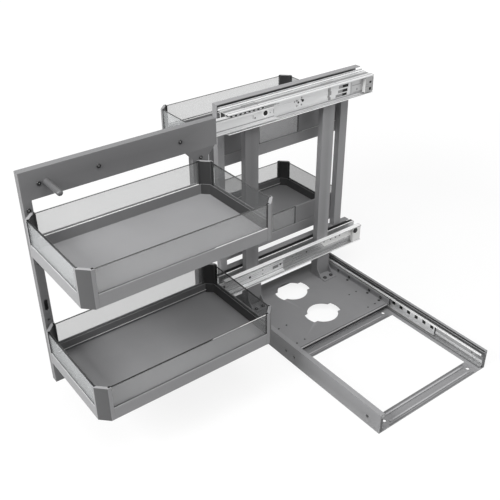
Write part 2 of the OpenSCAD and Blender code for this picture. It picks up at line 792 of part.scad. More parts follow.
floor_rail(-1);  // left_floor_rail
floor_rail(1);  // right_floor_rail
cross_bar(-end_bar_y);  // front_cross_bar
cross_bar(middle_bar_y);  // middle_cross_bar
cross_bar(end_bar_y);  // rear_cross_bar
floor_slide(-1);  // left_floor_slide
floor_slide(1);  // right_floor_slide
floor_slide_rivets();
floor_ball_cage(-1);  // left_floor_ball_cage
floor_ball_cage(1);  // right_floor_ball_cage
carriage_plate();
carriage_runner(-1);  // left_carriage_runner
carriage_runner(1);  // right_carriage_runner
carriage_screws();
post(-1);  // left_post
post(1);  // right_post
post_foot(-1);  // left_post_foot
post_foot(1);  // right_post_foot
foot_screws();
fixed_slide(-1, upper_slide_z);  // front_upper_slide
fixed_slide(-1, lower_slide_z);  // front_lower_slide
fixed_slide(1, upper_slide_z);  // rear_upper_slide
fixed_slide(1, lower_slide_z);  // rear_lower_slide
slide_screws();
soft_close_units();
end_stops();
end_bumpers();
middle_slide(-1, upper_slide_z, front_open, -upper_middle_lag);  // front_upper_middle_slide
middle_slide(-1, lower_slide_z, front_open, lower_middle_lead);  // front_lower_middle_slide
outer_ball_cages(-1, front_open);  // front_outer_ball_cages
inner_ball_cages(-1, front_open);  // front_inner_ball_cages
middle_slide(1, upper_slide_z, rear_open, 0);  // rear_upper_middle_slide
middle_slide(1, lower_slide_z, rear_open, 0);  // rear_lower_middle_slide
outer_ball_cages(1, rear_open);  // rear_outer_ball_cages
inner_ball_cages(1, rear_open);  // rear_inner_ball_cages
unit_rail(-1, upper_slide_z, front_open);  // front_top_rail
unit_rail(-1, lower_slide_z, front_open);  // front_lower_rail
left_upright(-1, front_open);  // front_left_upright
right_upright(-1, front_open, front_right_w);  // front_right_upright
runner(-1, upper_slide_z, front_open);  // front_upper_runner
runner(-1, lower_slide_z, front_open);  // front_lower_runner
front_peg();
frame_screws(-1, front_open);  // front_frame_screws
tray(-1, upper_basket_z, front_open);  // front_upper_tray
tray(-1, lower_basket_z, front_open);  // front_lower_tray
front_glass();
unit_corner_posts(-1, front_open);  // front_corner_posts
unit_rail(1, upper_slide_z, rear_open);  // rear_top_rail
unit_rail(1, lower_slide_z, rear_open);  // rear_lower_rail
left_upright(1, rear_open);  // rear_left_upright
right_upright(1, rear_open, rear_right_w);  // rear_right_upright
runner(1, upper_slide_z, rear_open);  // rear_upper_runner
runner(1, lower_slide_z, rear_open);  // rear_lower_runner
frame_screws(1, rear_open);  // rear_frame_screws
tray(1, upper_basket_z, rear_open);  // rear_upper_tray
tray(1, lower_basket_z, rear_open);  // rear_lower_tray
rear_glass();
rear_wall_plates();
unit_corner_posts(1, rear_open);  // rear_corner_posts
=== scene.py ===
import math

import bpy
from mathutils import Matrix, Vector


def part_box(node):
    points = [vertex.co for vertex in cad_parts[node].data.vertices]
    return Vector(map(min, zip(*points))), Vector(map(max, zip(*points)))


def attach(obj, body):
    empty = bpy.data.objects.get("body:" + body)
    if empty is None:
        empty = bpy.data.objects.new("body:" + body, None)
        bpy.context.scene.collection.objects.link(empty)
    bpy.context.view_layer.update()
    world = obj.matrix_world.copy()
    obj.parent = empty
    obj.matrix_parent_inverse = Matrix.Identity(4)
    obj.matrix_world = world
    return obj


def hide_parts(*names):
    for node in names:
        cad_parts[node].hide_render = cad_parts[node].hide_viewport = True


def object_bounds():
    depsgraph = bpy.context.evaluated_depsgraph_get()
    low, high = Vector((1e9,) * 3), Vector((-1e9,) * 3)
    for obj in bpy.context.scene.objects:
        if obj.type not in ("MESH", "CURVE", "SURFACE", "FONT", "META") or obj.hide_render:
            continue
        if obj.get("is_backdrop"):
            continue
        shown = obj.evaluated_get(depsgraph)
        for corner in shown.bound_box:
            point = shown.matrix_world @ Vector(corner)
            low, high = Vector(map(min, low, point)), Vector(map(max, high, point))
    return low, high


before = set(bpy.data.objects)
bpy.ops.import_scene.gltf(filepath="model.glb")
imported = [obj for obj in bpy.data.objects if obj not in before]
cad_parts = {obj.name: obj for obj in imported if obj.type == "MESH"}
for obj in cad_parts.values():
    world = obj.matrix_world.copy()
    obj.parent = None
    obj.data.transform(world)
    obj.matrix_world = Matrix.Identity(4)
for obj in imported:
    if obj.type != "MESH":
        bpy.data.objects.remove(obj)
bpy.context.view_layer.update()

mm = 0.001


def nothingSelected():
    if bpy.context.object and bpy.context.object.mode != "OBJECT":
        bpy.ops.object.mode_set(mode="OBJECT")
    bpy.ops.object.select_all(action="DESELECT")


def takeUp(piece):
    nothingSelected()
    piece.select_set(True)
    bpy.context.view_layer.objects.active = piece


def closeUp(piece, angle=20):
    # back to object mode, place put into the mesh, only round walls shaded smooth
    takeUp(piece)
    bpy.ops.object.transform_apply(location=True, rotation=True, scale=True)
    bpy.ops.object.shade_smooth_by_angle(angle=math.radians(angle))
    return piece


def roundEdges(piece, width, steps=2, angle=30):
    takeUp(piece)
    soft = piece.modifiers.new("softEdges", "BEVEL")
    soft.width = width * mm
    soft.segments = steps
    soft.limit_method = "ANGLE"
    soft.angle_limit = math.radians(angle)
    soft.use_clamp_overlap = True
    soft.harden_normals = False
    bpy.ops.object.modifier_apply(modifier=soft.name)


def copyOfNode(node, name):
    # a copy of the frame's piece with its triangles joined into whole faces
    piece = bpy.data.objects.new(name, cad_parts[node].data.copy())
    bpy.context.scene.collection.objects.link(piece)
    piece.data.materials.clear()
    takeUp(piece)
    bpy.ops.object.mode_set(mode="EDIT")
    bpy.ops.mesh.select_mode(type="VERT")
    bpy.ops.mesh.select_all(action="SELECT")
    bpy.ops.mesh.remove_doubles(threshold=0.000005)
    bpy.ops.mesh.dissolve_limited(angle_limit=math.radians(0.5))
    bpy.ops.object.mode_set(mode="OBJECT")
    return piece


def copyAt(piece, name, turn, place):
    # a copy with its own mesh, turned and put at a place in mm
    other = piece.copy()
    other.data = piece.data.copy()
    other.name = name
    bpy.context.scene.collection.objects.link(other)
    other.matrix_world = Matrix.Translation(Vector(place) * mm) @ turn
    takeUp(other)
    bpy.ops.object.transform_apply(location=True, rotation=True, scale=True)
    return other


def joinAll(pieces, name):
    takeUp(pieces[0])
    for piece in pieces[1:]:
        piece.select_set(True)
    if len(pieces) > 1:
        bpy.ops.object.join()
    pieces[0].name = name
    return pieces[0]


def coat(piece, material):
    piece.data.materials.clear()
    piece.data.materials.append(material)
    return piece


def coatFaces(piece, material, wanted):
    # a second finish on the wanted faces
    piece.data.materials.append(material)
    number = len(piece.data.materials) - 1
    for face in piece.data.polygons:
        if wanted(face):
            face.material_index = number


def block(name, low, high, rounding=0, steps=2):
    # a box between two corners in mm, its edges rounded
    nothingSelected()
    middle = [(a + b) / 2 * mm for a, b in zip(low, high)]
    extent = [abs(b - a) * mm for a, b in zip(low, high)]
    bpy.ops.mesh.primitive_cube_add(size=1, location=middle, scale=extent)
    piece = bpy.context.object
    piece.name = name
    bpy.ops.object.transform_apply(location=True, rotation=True, scale=True)
    if rounding:
        roundEdges(piece, rounding, steps)
    return piece


def rod(name, start, end, width, sides=24, rounding=0, steps=2):
    # a round bar between two points in mm
    nothingSelected()
    a, b = Vector(start) * mm, Vector(end) * mm
    turn = (b - a).to_track_quat("Z", "Y").to_euler()
    bpy.ops.mesh.primitive_cylinder_add(vertices=sides, radius=width / 2 * mm, depth=(b - a).length,
                                        location=(a + b) / 2, rotation=turn)
    piece = bpy.context.object
    piece.name = name
    bpy.ops.object.transform_apply(location=True, rotation=True, scale=True)
    if rounding:
        roundEdges(piece, rounding, steps, 50)
    return piece


def cutOut(piece, cutters):
    # takes the joined cutters out of the piece
    tool = joinAll(cutters, piece.name + "Cutter")
    takeUp(piece)
    cut = piece.modifiers.new("cutOut", "BOOLEAN")
    cut.operation = "DIFFERENCE"
    cut.solver = "EXACT"
    cut.object = tool
    cut.use_self = True
    bpy.ops.object.modifier_apply(modifier=cut.name)
    bpy.data.objects.remove(tool)
    return piece


def trimLeft(piece, x):
    # cuts away what stands left of x, in mm, and closes the cut
    takeUp(piece)
    bpy.ops.object.mode_set(mode="EDIT")
    bpy.ops.mesh.select_all(action="SELECT")
    bpy.ops.mesh.bisect(plane_co=(x * mm, 0, 0), plane_no=(1, 0, 0), use_fill=True, clear_inner=True)
    bpy.ops.object.mode_set(mode="OBJECT")


def partsOf(node):
    # the lowest and highest corner of each loose part of a node, in mm, from left to right
    spare = copyOfNode(node, node + "Spare")
    bpy.ops.object.mode_set(mode="EDIT")
    bpy.ops.mesh.select_all(action="SELECT")
    bpy.ops.mesh.separate(type="LOOSE")
    bpy.ops.object.mode_set(mode="OBJECT")
    ends = []
    for part in list(bpy.context.selected_objects):
        points = [corner.co / mm for corner in part.data.vertices]
        ends.append([[round(pick(point[i] for point in points), 3) for i in range(3)] for pick in (min, max)])
        bpy.data.objects.remove(part)
    return sorted(ends)


def finish(piece, body, node):
    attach(piece, body)
    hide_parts(node)


# finishes: one maker for each kind, then the tones that the pieces use
def newFinish(name, settings):
    material = bpy.data.materials.new(name)
    material.use_nodes = True
    tree = material.node_tree
    shader = tree.nodes["Principled BSDF"]
    shader.inputs["Metallic"].default_value = settings.get("metal", 0.0)
    shader.inputs["Specular IOR Level"].default_value = settings.get("gloss", 0.5)
    place = tree.nodes.new("ShaderNodeTexCoord")
    return material, tree, shader, place


def noiseNode(tree, place, scale, detail, stretch=None):
    noise = tree.nodes.new("ShaderNodeTexNoise")
    noise.inputs["Scale"].default_value = scale
    noise.inputs["Detail"].default_value = detail
    if stretch:
        mapping = tree.nodes.new("ShaderNodeMapping")
        mapping.inputs["Scale"].default_value = stretch
        tree.links.new(place.outputs["Object"], mapping.inputs["Vector"])
        tree.links.new(mapping.outputs["Vector"], noise.inputs["Vector"])
    else:
        tree.links.new(place.outputs["Object"], noise.inputs["Vector"])
    return noise


def rampNode(tree, source, stops):
    ramp = tree.nodes.new("ShaderNodeValToRGB")
    for element, (position, colour) in zip(ramp.color_ramp.elements, stops):
        element.position, element.color = position, colour
    tree.links.new(source, ramp.inputs["Fac"])
    return ramp


def grey(value, tint=(1, 1, 1)):
    return (value * tint[0], value * tint[1], value * tint[2], 1)


noiseSpread = (0.3, 0.7)      # most of a noise lies between these


def toneNode(tree, source, dark, light, tint):
    # a tone that goes from dark to light with a noise
    low, high = noiseSpread
    return rampNode(tree, source, [(low, grey(dark, tint)), (high, grey(light, tint))])


def rangeNode(tree, source, low, high):
    span = tree.nodes.new("ShaderNodeMapRange")
    span.inputs["From Min"].default_value, span.inputs["From Max"].default_value = noiseSpread
    span.inputs["To Min"].default_value = low
    span.inputs["To Max"].default_value = high
    tree.links.new(source, span.inputs["Value"])
    return span


def bumpNode(tree, shader, height, strength, distance):
    bump = tree.nodes.new("ShaderNodeBump")
    bump.inputs["Strength"].default_value = strength
    bump.inputs["Distance"].default_value = distance
    tree.links.new(height, bump.inputs["Height"])
    tree.links.new(bump.outputs["Normal"], shader.inputs["Normal"])


def powderCoat(name, settings):
    # baked powder paint: fine orange peel, faint clouding, worn a little lighter on its edges
    material, tree, shader, place = newFinish(name, settings)
    cloud = noiseNode(tree, place, settings["cloudScale"], 4)
    tone, spread, tint = settings["tone"], settings["clouding"], settings["tint"]
    base = toneNode(tree, cloud.outputs["Fac"], tone * (1 - spread), tone * (1 + spread), tint)
    edge = tree.nodes.new("ShaderNodeNewGeometry")
    wearAndGlint = rampNode(tree, edge.outputs["Pointiness"], [(0.52, grey(0)), (0.60, grey(settings["edgeWearAndGlint"]))])
    mix = tree.nodes.new("ShaderNodeMix")
    mix.data_type = "RGBA"
    mix.inputs["B"].default_value = grey(tone * settings["wornAndLit"], tint)
    tree.links.new(wearAndGlint.outputs["Color"], mix.inputs["Factor"])
    tree.links.new(base.outputs["Color"], mix.inputs["A"])
    tree.links.new(mix.outputs["Result"], shader.inputs["Base Color"])
    peel = noiseNode(tree, place, settings["peelScale"], 2)
    low, high = settings["roughness"]
    rough = rangeNode(tree, cloud.outputs["Fac"], low, high)
    tree.links.new(rough.outputs["Result"], shader.inputs["Roughness"])
    bumpNode(tree, shader, peel.outputs["Fac"], settings["peel"], settings["depth"])
    return material


def zincPlate(name, settings):
    # bright plated strip steel with rolling streaks along the slide
    material, tree, shader, place = newFinish(name, settings)
    streaks = noiseNode(tree, place, 1.0, 3, settings["streaks"])
    blotch = noiseNode(tree, place, settings["blotchScale"], 3)
    tone = settings["tone"]
    base = toneNode(tree, blotch.outputs["Fac"], tone * settings["shade"], tone, settings["tint"])
    tree.links.new(base.outputs["Color"], shader.inputs["Base Color"])
    low, high = settings["roughness"]
    rough = rangeNode(tree, streaks.outputs["Fac"], low, high)
    tree.links.new(rough.outputs["Result"], shader.inputs["Roughness"])
    bumpNode(tree, shader, streaks.outputs["Fac"], settings["grain"], settings["depth"])
    return material


def moulded(name, settings):
    # moulded plastic or rubber with a fine spark-eroded grain
    material, tree, shader, place = newFinish(name, settings)
    cloud = noiseNode(tree, place, settings["cloudScale"], 3)
    tone = settings["tone"]
    base = toneNode(tree, cloud.outputs["Fac"], tone * settings["shade"], tone, settings["tint"])
    tree.links.new(base.outputs["Color"], shader.inputs["Base Color"])
    grain = noiseNode(tree, place, settings["grainScale"], 2)
    low, high = settings["roughness"]
    rough = rangeNode(tree, grain.outputs["Fac"], low, high)
    tree.links.new(rough.outputs["Result"], shader.inputs["Roughness"])
    bumpNode(tree, shader, grain.outputs["Fac"], settings["grain"], settings["depth"])
    return material


def smokedGlass(name, settings):
    material, tree, shader, place = newFinish(name, settings)
    shader.inputs["Alpha"].default_value = settings["cover"]
    shader.inputs["IOR"].default_value = settings["ior"]
    film = noiseNode(tree, place, settings["filmScale"], 3)
    tone = settings["tone"]
    base = toneNode(tree, film.outputs["Fac"], tone * settings["shade"], tone, settings["tint"])
    tree.links.new(base.outputs["Color"], shader.inputs["Base Color"])
    low, high = settings["roughness"]
    rough = rangeNode(tree, film.outputs["Fac"], low, high)
    tree.links.new(rough.outputs["Result"], shader.inputs["Roughness"])
    return material


paint = {
    "tint": (1.0, 1.0, 1.02), "clouding": 0.05, "cloudScale": 9.0, "edgeWearAndGlint": 0.25,
    "wornAndLit": 1.9, "peelScale": 900.0, "peel": 0.10, "depth": 0.0004, "roughness": (0.42, 0.52), "gloss": 0.28,
}
greyCoat = powderCoat("greyPowderCoat", {**paint, "tone": 0.235})
# the grey coat darkened as painted shade, for the front unit's rails and uprights and the left post
railShadeCoat = powderCoat("railShadePowderCoat", {**paint, "tone": 0.150})
# painted shade: the floor rails' open ends, the plate's groove and the corner posts' chamfers
darkShadeCoat = powderCoat("darkShadePowderCoat", {**paint, "tone": 0.085, "roughness": (0.40, 0.50)})
# deep painted shade: the trays' inner right walls and the inside of the corner posts
deepShadeCoat = powderCoat("deepShadePowderCoat", {**paint, "tone": 0.032, "roughness": (0.40, 0.50), "gloss": 0.24})
pegCoat = powderCoat("pegPowderCoat", {
    **paint, "tone": 0.09, "cloudScale": 20.0, "edgeWearAndGlint": 0.2, "roughness": (0.36, 0.46), "gloss": 0.5})
# painted highlights on the cross bars' ribs
ribHighlightCoat = powderCoat("ribHighlightPowderCoat", {
    **paint, "tone": 0.34, "clouding": 0.06, "cloudScale": 20.0, "edgeWearAndGlint": 0.2,
    "roughness": (0.36, 0.46), "gloss": 0.4})
# painted shade: the trays' inner walls and near edges, and the cross bars' rolled edges
innerShadeCoat = powderCoat("innerShadePowderCoat", {
    **paint, "tone": 0.135, "edgeWearAndGlint": 0.1, "roughness": (0.44, 0.54), "gloss": 0.25})
# painted highlights: the trays' rim tops, the plate's near edge and a lit glass edge
rimHighlightCoat = powderCoat("rimHighlightPowderCoat", {
    **paint, "tone": 0.46, "tint": (1.0, 1.0, 1.01), "clouding": 0.12, "cloudScale": 30.0, "edgeWearAndGlint": 0.1,
    "roughness": (0.34, 0.44), "gloss": 0.45})

plating = {
    "tint": (0.99, 0.995, 1.0), "streaks": (14.0, 700.0, 700.0), "blotchScale": 12.0,
    "shade": 0.92, "roughness": (0.25, 0.32), "grain": 0.03, "depth": 0.0002, "metal": 0.4,
}
# zinc lightened as painted light: the lower middle slides and a band low on the floor slides' webs
paintedLightZinc = zincPlate("paintedLightZinc", {**plating, "tone": 0.84})
slideZinc = zincPlate("slideZinc", {**plating, "tone": 0.68, "roughness": (0.27, 0.35)})
# zinc darkened as painted shade, for the lower fixed slides
paintedShadeZinc = zincPlate("paintedShadeZinc", {**plating, "tone": 0.50, "metal": 0.6})
shadedZinc = zincPlate("shadedZinc", {**plating, "tone": 0.46, "roughness": (0.32, 0.40), "metal": 0.5})
# zinc darkened as painted shade, for lines and marks in grooves, gaps and along edges
shadeLineZinc = zincPlate("shadeLineZinc", {**plating, "tone": 0.26, "roughness": (0.34, 0.44), "metal": 0.6})
# zinc lightened as painted highlights: ridge and lip lines, a raised ring and the glint in the screws' worn
# recesses
highlightZinc = zincPlate("highlightZinc", {
    **plating, "tone": 0.95, "tint": (1.0, 1.0, 1.0), "roughness": (0.22, 0.28), "grain": 0.02})
gleam = zincPlate("gleam", {
    **plating, "tone": 1.0, "tint": (1.0, 1.0, 1.0), "roughness": (0.30, 0.36), "grain": 0.02, "metal": 0.1})
floorPlating = {**plating, "streaks": (700.0, 14.0, 700.0)}      # rolled along Y
floorSlideZinc = zincPlate("floorSlideZinc", {
    **floorPlating, "tone": 0.42, "roughness": (0.30, 0.38), "metal": 0.7})
floorCageZinc = zincPlate("floorCageZinc", {
    **floorPlating, "tone": 0.72, "roughness": (0.28, 0.34), "metal": 0.5})

plastic = {
    "tint": (1, 1, 0.99), "cloudScale": 30.0, "grainScale": 1500.0, "grain": 0.08, "depth": 0.0003,
    "shade": 0.94, "roughness": (0.42, 0.55), "gloss": 0.45,
}
whitePlastic = moulded("whitePlastic", {**plastic, "tone": 0.98})
lightPlastic = moulded("lightPlastic", {**plastic, "tone": 0.86, "tint": (1, 1, 0.985), "grain": 0.10})
# pale plastic as painted highlights: lit edges, the strips at the glass, the floor lining's edge and the end
# caps' left faces
highlightPlastic = moulded("paintedHighlightPlastic", {**plastic, "tone": 0.80, "roughness": (0.38, 0.5), "gloss": 0.5})
capPlastic = moulded("capPlastic", {**plastic, "tone": 0.36, "tint": (1, 1, 1), "roughness": (0.40, 0.52)})
blackScrew = moulded("blackScrewCoat", {
    **plastic, "tone": 0.012, "tint": (1, 1, 1.03), "cloudScale": 60.0, "grainScale": 1200.0,
    "grain": 0.05, "roughness": (0.22, 0.34), "gloss": 0.7})
# near black as painted shade: holes, gaps, slots, behind windows and the balls at the slides' mouths
gapShade = moulded("paintedGapShade", {
    **plastic, "tone": 0.010, "tint": (1, 1, 1), "cloudScale": 60.0, "grainScale": 1200.0,
    "grain": 0.05, "roughness": (0.5, 0.6), "gloss": 0.25})
blackRubber = moulded("blackRubber", {
    **plastic, "tone": 0.018, "tint": (1, 1, 1), "cloudScale": 40.0, "grainScale": 1300.0,
    "grain": 0.2, "roughness": (0.6, 0.75), "gloss": 0.35})

tinted = {
    "tint": (0.97, 1.0, 1.01), "filmScale": 20.0, "shade": 0.9, "ior": 1.5,
    "roughness": (0.12, 0.2), "gloss": 0.5,
}
glassPane = smokedGlass("smokedGlass", {
    **tinted, "tone": 0.42, "tint": (0.99, 1.0, 1.005), "cover": 0.26, "filmScale": 6.0,
    "roughness": (0.03, 0.07)})
# the end panes: the left ones lightened as painted light, the right ones darkened as painted shade
paintedLightPane = smokedGlass("paintedLightPane", {**tinted, "tone": 0.58, "cover": 0.38})
shadedPane = smokedGlass("shadedPane", {**tinted, "tone": 0.09, "cover": 0.36})
glassEdge = smokedGlass("smokedGlassEdge", {**tinted, "tone": 0.022, "cover": 0.93})
print("finishes made")


# what the photo shows on the sheet metal, in mm: holes, edges and lines, drawn as painted shade and painted
# highlights
plate = {
    "top": 19, "reach": 150, "hole": 4.9, "holeX": (105, 129), "holeY": (25, 93), "underside": 17.4,
    "screwShade": 7, "screwX": 147.5, "screwY": (29, 70, 145), "edgeHighlight": (3.3, 4.9), "groove": (7.0, 8.6),
}
bar = {
    "sheet": 2, "shadeInset": 12, "shades": ((0.8, 4.2), (33, 37.2)),
    "shineInset": 30, "shines": ((8.6, 10.6), (27.2, 29.6)),
}
rail = {
    "ends": (283.7, 284.7), "openX": (161.5, 168.3), "openZ": (2.2, 37),
    "lipX": (158.3, 163.4), "lipY": 284.6, "lipZ": (49.7, 50.04),
}
floorSlideEnds = (-280, 278)      # y
# painted highlights on the floor slides' lip, painted light and painted shade on their web
floorSlideZones = [
    # name, x from and to, z from and to, finish
    ("lipTop", 156.2, 158.8, 39.7, 40.15, gleam), ("lipFace", 155.85, 156.2, 36.6, 39.8, gleam),
    ("webDark", 166.3, 166.6, 27, 36.5, shadeLineZinc), ("webPale", 166.3, 166.6, 10.5, 17.5, paintedLightZinc),
]


def plateMarks():
    # painted shade in the spare holes and in a ring round each screw, then a painted highlight on the near edge
    # and the painted shade of its groove
    top, reach, under = plate["top"], plate["reach"], plate["underside"]
    marks = [rod("holeShade", (side * x, y, under), (side * x, y, under + 0.5), plate["hole"], 16)
             for side in (-1, 1) for x in plate["holeX"] for y in plate["holeY"]]
    marks += [rod("screwShade", (side * plate["screwX"], y, top - 0.1), (side * plate["screwX"], y, top + 0.1),
                  plate["screwShade"], 16) for side in (-1, 1) for y in plate["screwY"]]
    for mark in marks:
        coat(mark, gapShade)
    near, far = plate["edgeHighlight"]
    wornAndLit = block("edgeHighlight", (-reach, near, top - 0.2), (reach, far, top + 0.15), 0.1, 1)
    near, far = plate["groove"]
    groove = block("edgeGrooveShade", (-reach, near, top - 0.1), (reach, far, top + 0.08))
    return marks + [coat(wornAndLit, rimHighlightCoat), coat(groove, darkShadeCoat)]


def barMarks(node):
    # painted shade where its long edges roll down, and painted highlights on its ribs
    low, high = (Vector(corner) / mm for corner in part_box(node))
    sheet, marks = bar["sheet"], []
    for name, inset, z0, z1, tone, spans in (
            ("edgeShade", bar["shadeInset"], sheet - 0.1, sheet + 0.12, innerShadeCoat, bar["shades"]),
            ("ribShine", bar["shineInset"], high.z - 0.2, high.z + 0.05, ribHighlightCoat, bar["shines"])):
        marks += [coat(block(name, (low.x + inset, low.y + a, z0), (high.x - inset, low.y + b, z1)), tone)
                  for a, b in spans]
    return marks


def railMarks(side):
    # painted shade in its open ends, and on the inner half of the right rail's lip
    (x0, x1), (z0, z1) = sorted(side * x for x in rail["openX"]), rail["openZ"]
    near, far = rail["ends"]
    marks = [coat(block("openEnd", (x0, y0, z0), (x1, y1, z1)), darkShadeCoat)
             for y0, y1 in ((-far, -near), (near, far))]
    if side > 0:
        (x0, x1), y, (z0, z1) = rail["lipX"], rail["lipY"], rail["lipZ"]
        marks.append(coat(block("lipShade", (x0, -y, z0), (x1, y, z1)), gapShade))
    return marks


def floorSlideMarks(side):
    # painted highlights on its rolled lip, and on its web a painted light band low down and painted shade
    # higher up
    marks, (y0, y1) = [], floorSlideEnds
    for name, x0, x1, z0, z1, tone in floorSlideZones:
        x0, x1 = sorted((side * x0, side * x1))
        marks.append(coat(block(name, (x0, y0, z0), (x1, y1, z1)), tone))
    return marks


# sheet metal: the frame's own shapes with their folds and cut edges rounded
folded = [
    # node, body, edge in mm, material, slot
    ("left_floor_rail", "floor_frame", 0.7, greyCoat, "grey paint"),
    ("right_floor_rail", "floor_frame", 0.7, greyCoat, "grey paint"),
    ("front_cross_bar", "floor_frame", 0.8, greyCoat, "grey paint"),
    ("middle_cross_bar", "floor_frame", 0.8, greyCoat, "grey paint"),
    ("rear_cross_bar", "floor_frame", 0.8, greyCoat, "grey paint"),
    ("left_floor_slide", "floor_frame", 0.35, floorSlideZinc, "zinc"),
    ("right_floor_slide", "floor_frame", 0.35, floorSlideZinc, "zinc"),
    ("carriage_plate", "carriage", 0.5, greyCoat, "grey paint"),
    ("left_carriage_runner", "carriage", 0.3, floorSlideZinc, "zinc"),
    ("right_carriage_runner", "carriage", 0.3, floorSlideZinc, "zinc"),
    # the left post in the coat darkened as painted shade
    ("left_post", "carriage", 0.7, railShadeCoat, "grey paint"),
    ("right_post", "carriage", 0.7, greyCoat, "grey paint"),
    ("left_post_foot", "carriage", 0.5, greyCoat, "grey paint"),
    ("right_post_foot", "carriage", 0.5, greyCoat, "grey paint"),
    # the front unit's rails and uprights in the coat darkened as painted shade
    ("front_top_rail", "front_unit", 0.7, railShadeCoat, "grey paint"),
    ("front_lower_rail", "front_unit", 0.7, railShadeCoat, "grey paint"),
    ("front_left_upright", "front_unit", 0.6, railShadeCoat, "grey paint"),
    ("front_right_upright", "front_unit", 0.6, railShadeCoat, "grey paint"),
    ("rear_top_rail", "rear_unit", 0.7, greyCoat, "grey paint"),
    ("rear_lower_rail", "rear_unit", 0.7, greyCoat, "grey paint"),
    ("rear_left_upright", "rear_unit", 0.6, greyCoat, "grey paint"),
    ("rear_right_upright", "rear_unit", 0.6, greyCoat, "grey paint"),
    ("rear_wall_plates", "rear_unit", 0.5, greyCoat, "grey paint"),
]
for node, body, edge, material, slot in folded:
    piece = copyOfNode(node, node + "_folded")
    roundEdges(piece, edge)
    closeUp(piece)
    coat(piece, material)
    side = -1 if node.startswith("left") else 1
    marks = []
    if node == "carriage_plate":
        marks = plateMarks()
    elif "cross_bar" in node:
        marks = barMarks(node)
    elif "floor_rail" in node:
        marks = railMarks(side)
    elif "floor_slide" in node:
        marks = floorSlideMarks(side)
    joinAll([piece] + marks, piece.name)
    finish(piece, body, node)
print("sheet metal rounded")

plain = {
    "front_inner_ball_cages": slideZinc, "rear_inner_ball_cages": slideZinc,
    "front_upper_runner": slideZinc, "front_lower_runner": slideZinc,
    "rear_upper_runner": slideZinc, "rear_lower_runner": slideZinc, "front_peg": pegCoat,
}
for node, material in plain.items():
    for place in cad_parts[node].material_slots:
        place.material = material


# trays: the inside of the rim in the darker coat as painted shade, its top edge lightened as a painted
# highlight
trayDetails = {
    "rounding": 0.6, "floorLevel": 2.5, "wall": 3, "cornerReach": 60, "rim": 1,
    "skirtInset": 27, "skirtY": (0.4, 1.4), "skirtLight": 1.6, "litShare": 0.64,
    "glazingY": (6.1, 7.9), "glazingZ": (0.8, 2), "liningInset": 20, "liningY": (8, 9.2), "liningZ": (9, 10.2),
}


def trayStrips(node, a, b):
    # painted shade and painted highlight strips on the near edge and inside, for a tray between the corners a
    # and b in mm
    upper, (y0, y1) = "upper" in node, trayDetails["skirtY"]
    left, right = a.x + trayDetails["skirtInset"], b.x - trayDetails["skirtInset"]
    lit = a.x + trayDetails["litShare"] * (b.x - a.x) if upper else right
    # painted shade along the near edge up to where it is lit
    shade = coat(block("skirtShade", (left, a.y + y0, b.z - 1), (lit, a.y + y1, b.z + 0.1)), innerShadeCoat)
    if upper:         # painted highlight on the near edge where the light falls on it, and a strip that holds the glass, painted pale as a highlight
        (near, far), (top, bottom) = trayDetails["glazingY"], trayDetails["glazingZ"]
        y1 = a.y + trayDetails["skirtLight"]
        strips = [block("skirtEdge", (lit, a.y + y0, b.z - 1), (right, y1, b.z + 0.2), 0.3, 1),
                  block("glazingStrip", (left, b.y - far, b.z - bottom),
                        (right, b.y - near, b.z - top), 0.3, 1)]
    else:             # the upper edge of its floor lining, as a painted highlight
        inset, (near, far), (z0, z1) = (trayDetails[key] for key in ("liningInset", "liningY", "liningZ"))
        left, right = a.x + inset, b.x - inset
        strips = [block("liningEdge", (left, b.y - far, a.z + z0), (right, b.y - near, a.z + z1), 0.2, 1)]
    return [shade] + [coat(piece, highlightPlastic) for piece in strips]


for node in ("front_upper_tray", "front_lower_tray", "rear_upper_tray", "rear_lower_tray"):
    low, high = (Vector(corner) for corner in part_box(node))
    middle = (low + high) / 2
    floorTop, wall, reach, rim = (trayDetails[key] * mm for key in ("floorLevel", "wall", "cornerReach", "rim"))
    tray = copyOfNode(node, node + "_folded")
    roundEdges(tray, trayDetails["rounding"])
    coat(tray, greyCoat)
    # painted shade on the rim's inner walls
    coatFaces(tray, innerShadeCoat, lambda face: abs(face.normal.z) < 0.3 and face.center.z > low.z + floorTop
              and all(abs(face.center[i] - middle[i]) < (high[i] - low[i]) / 2 - wall for i in (0, 1))
              and face.normal.dot(middle - face.center) > 0)
    # deeper painted shade on the inner right wall near its end
    coatFaces(tray, deepShadeCoat, lambda face: face.normal.x < -0.4 and face.center.z > low.z + floorTop
              and wall < high.x - face.center.x < reach)
    # painted highlight on the rim's top
    coatFaces(tray, rimHighlightCoat, lambda face: face.normal.z > 0.35 and face.center.z > high.z - rim)
    closeUp(tray)
    joinAll([tray] + trayStrips(node, low / mm, high / mm), tray.name)
    finish(tray, node.split("_")[0] + "_unit", node)
print("trays made")


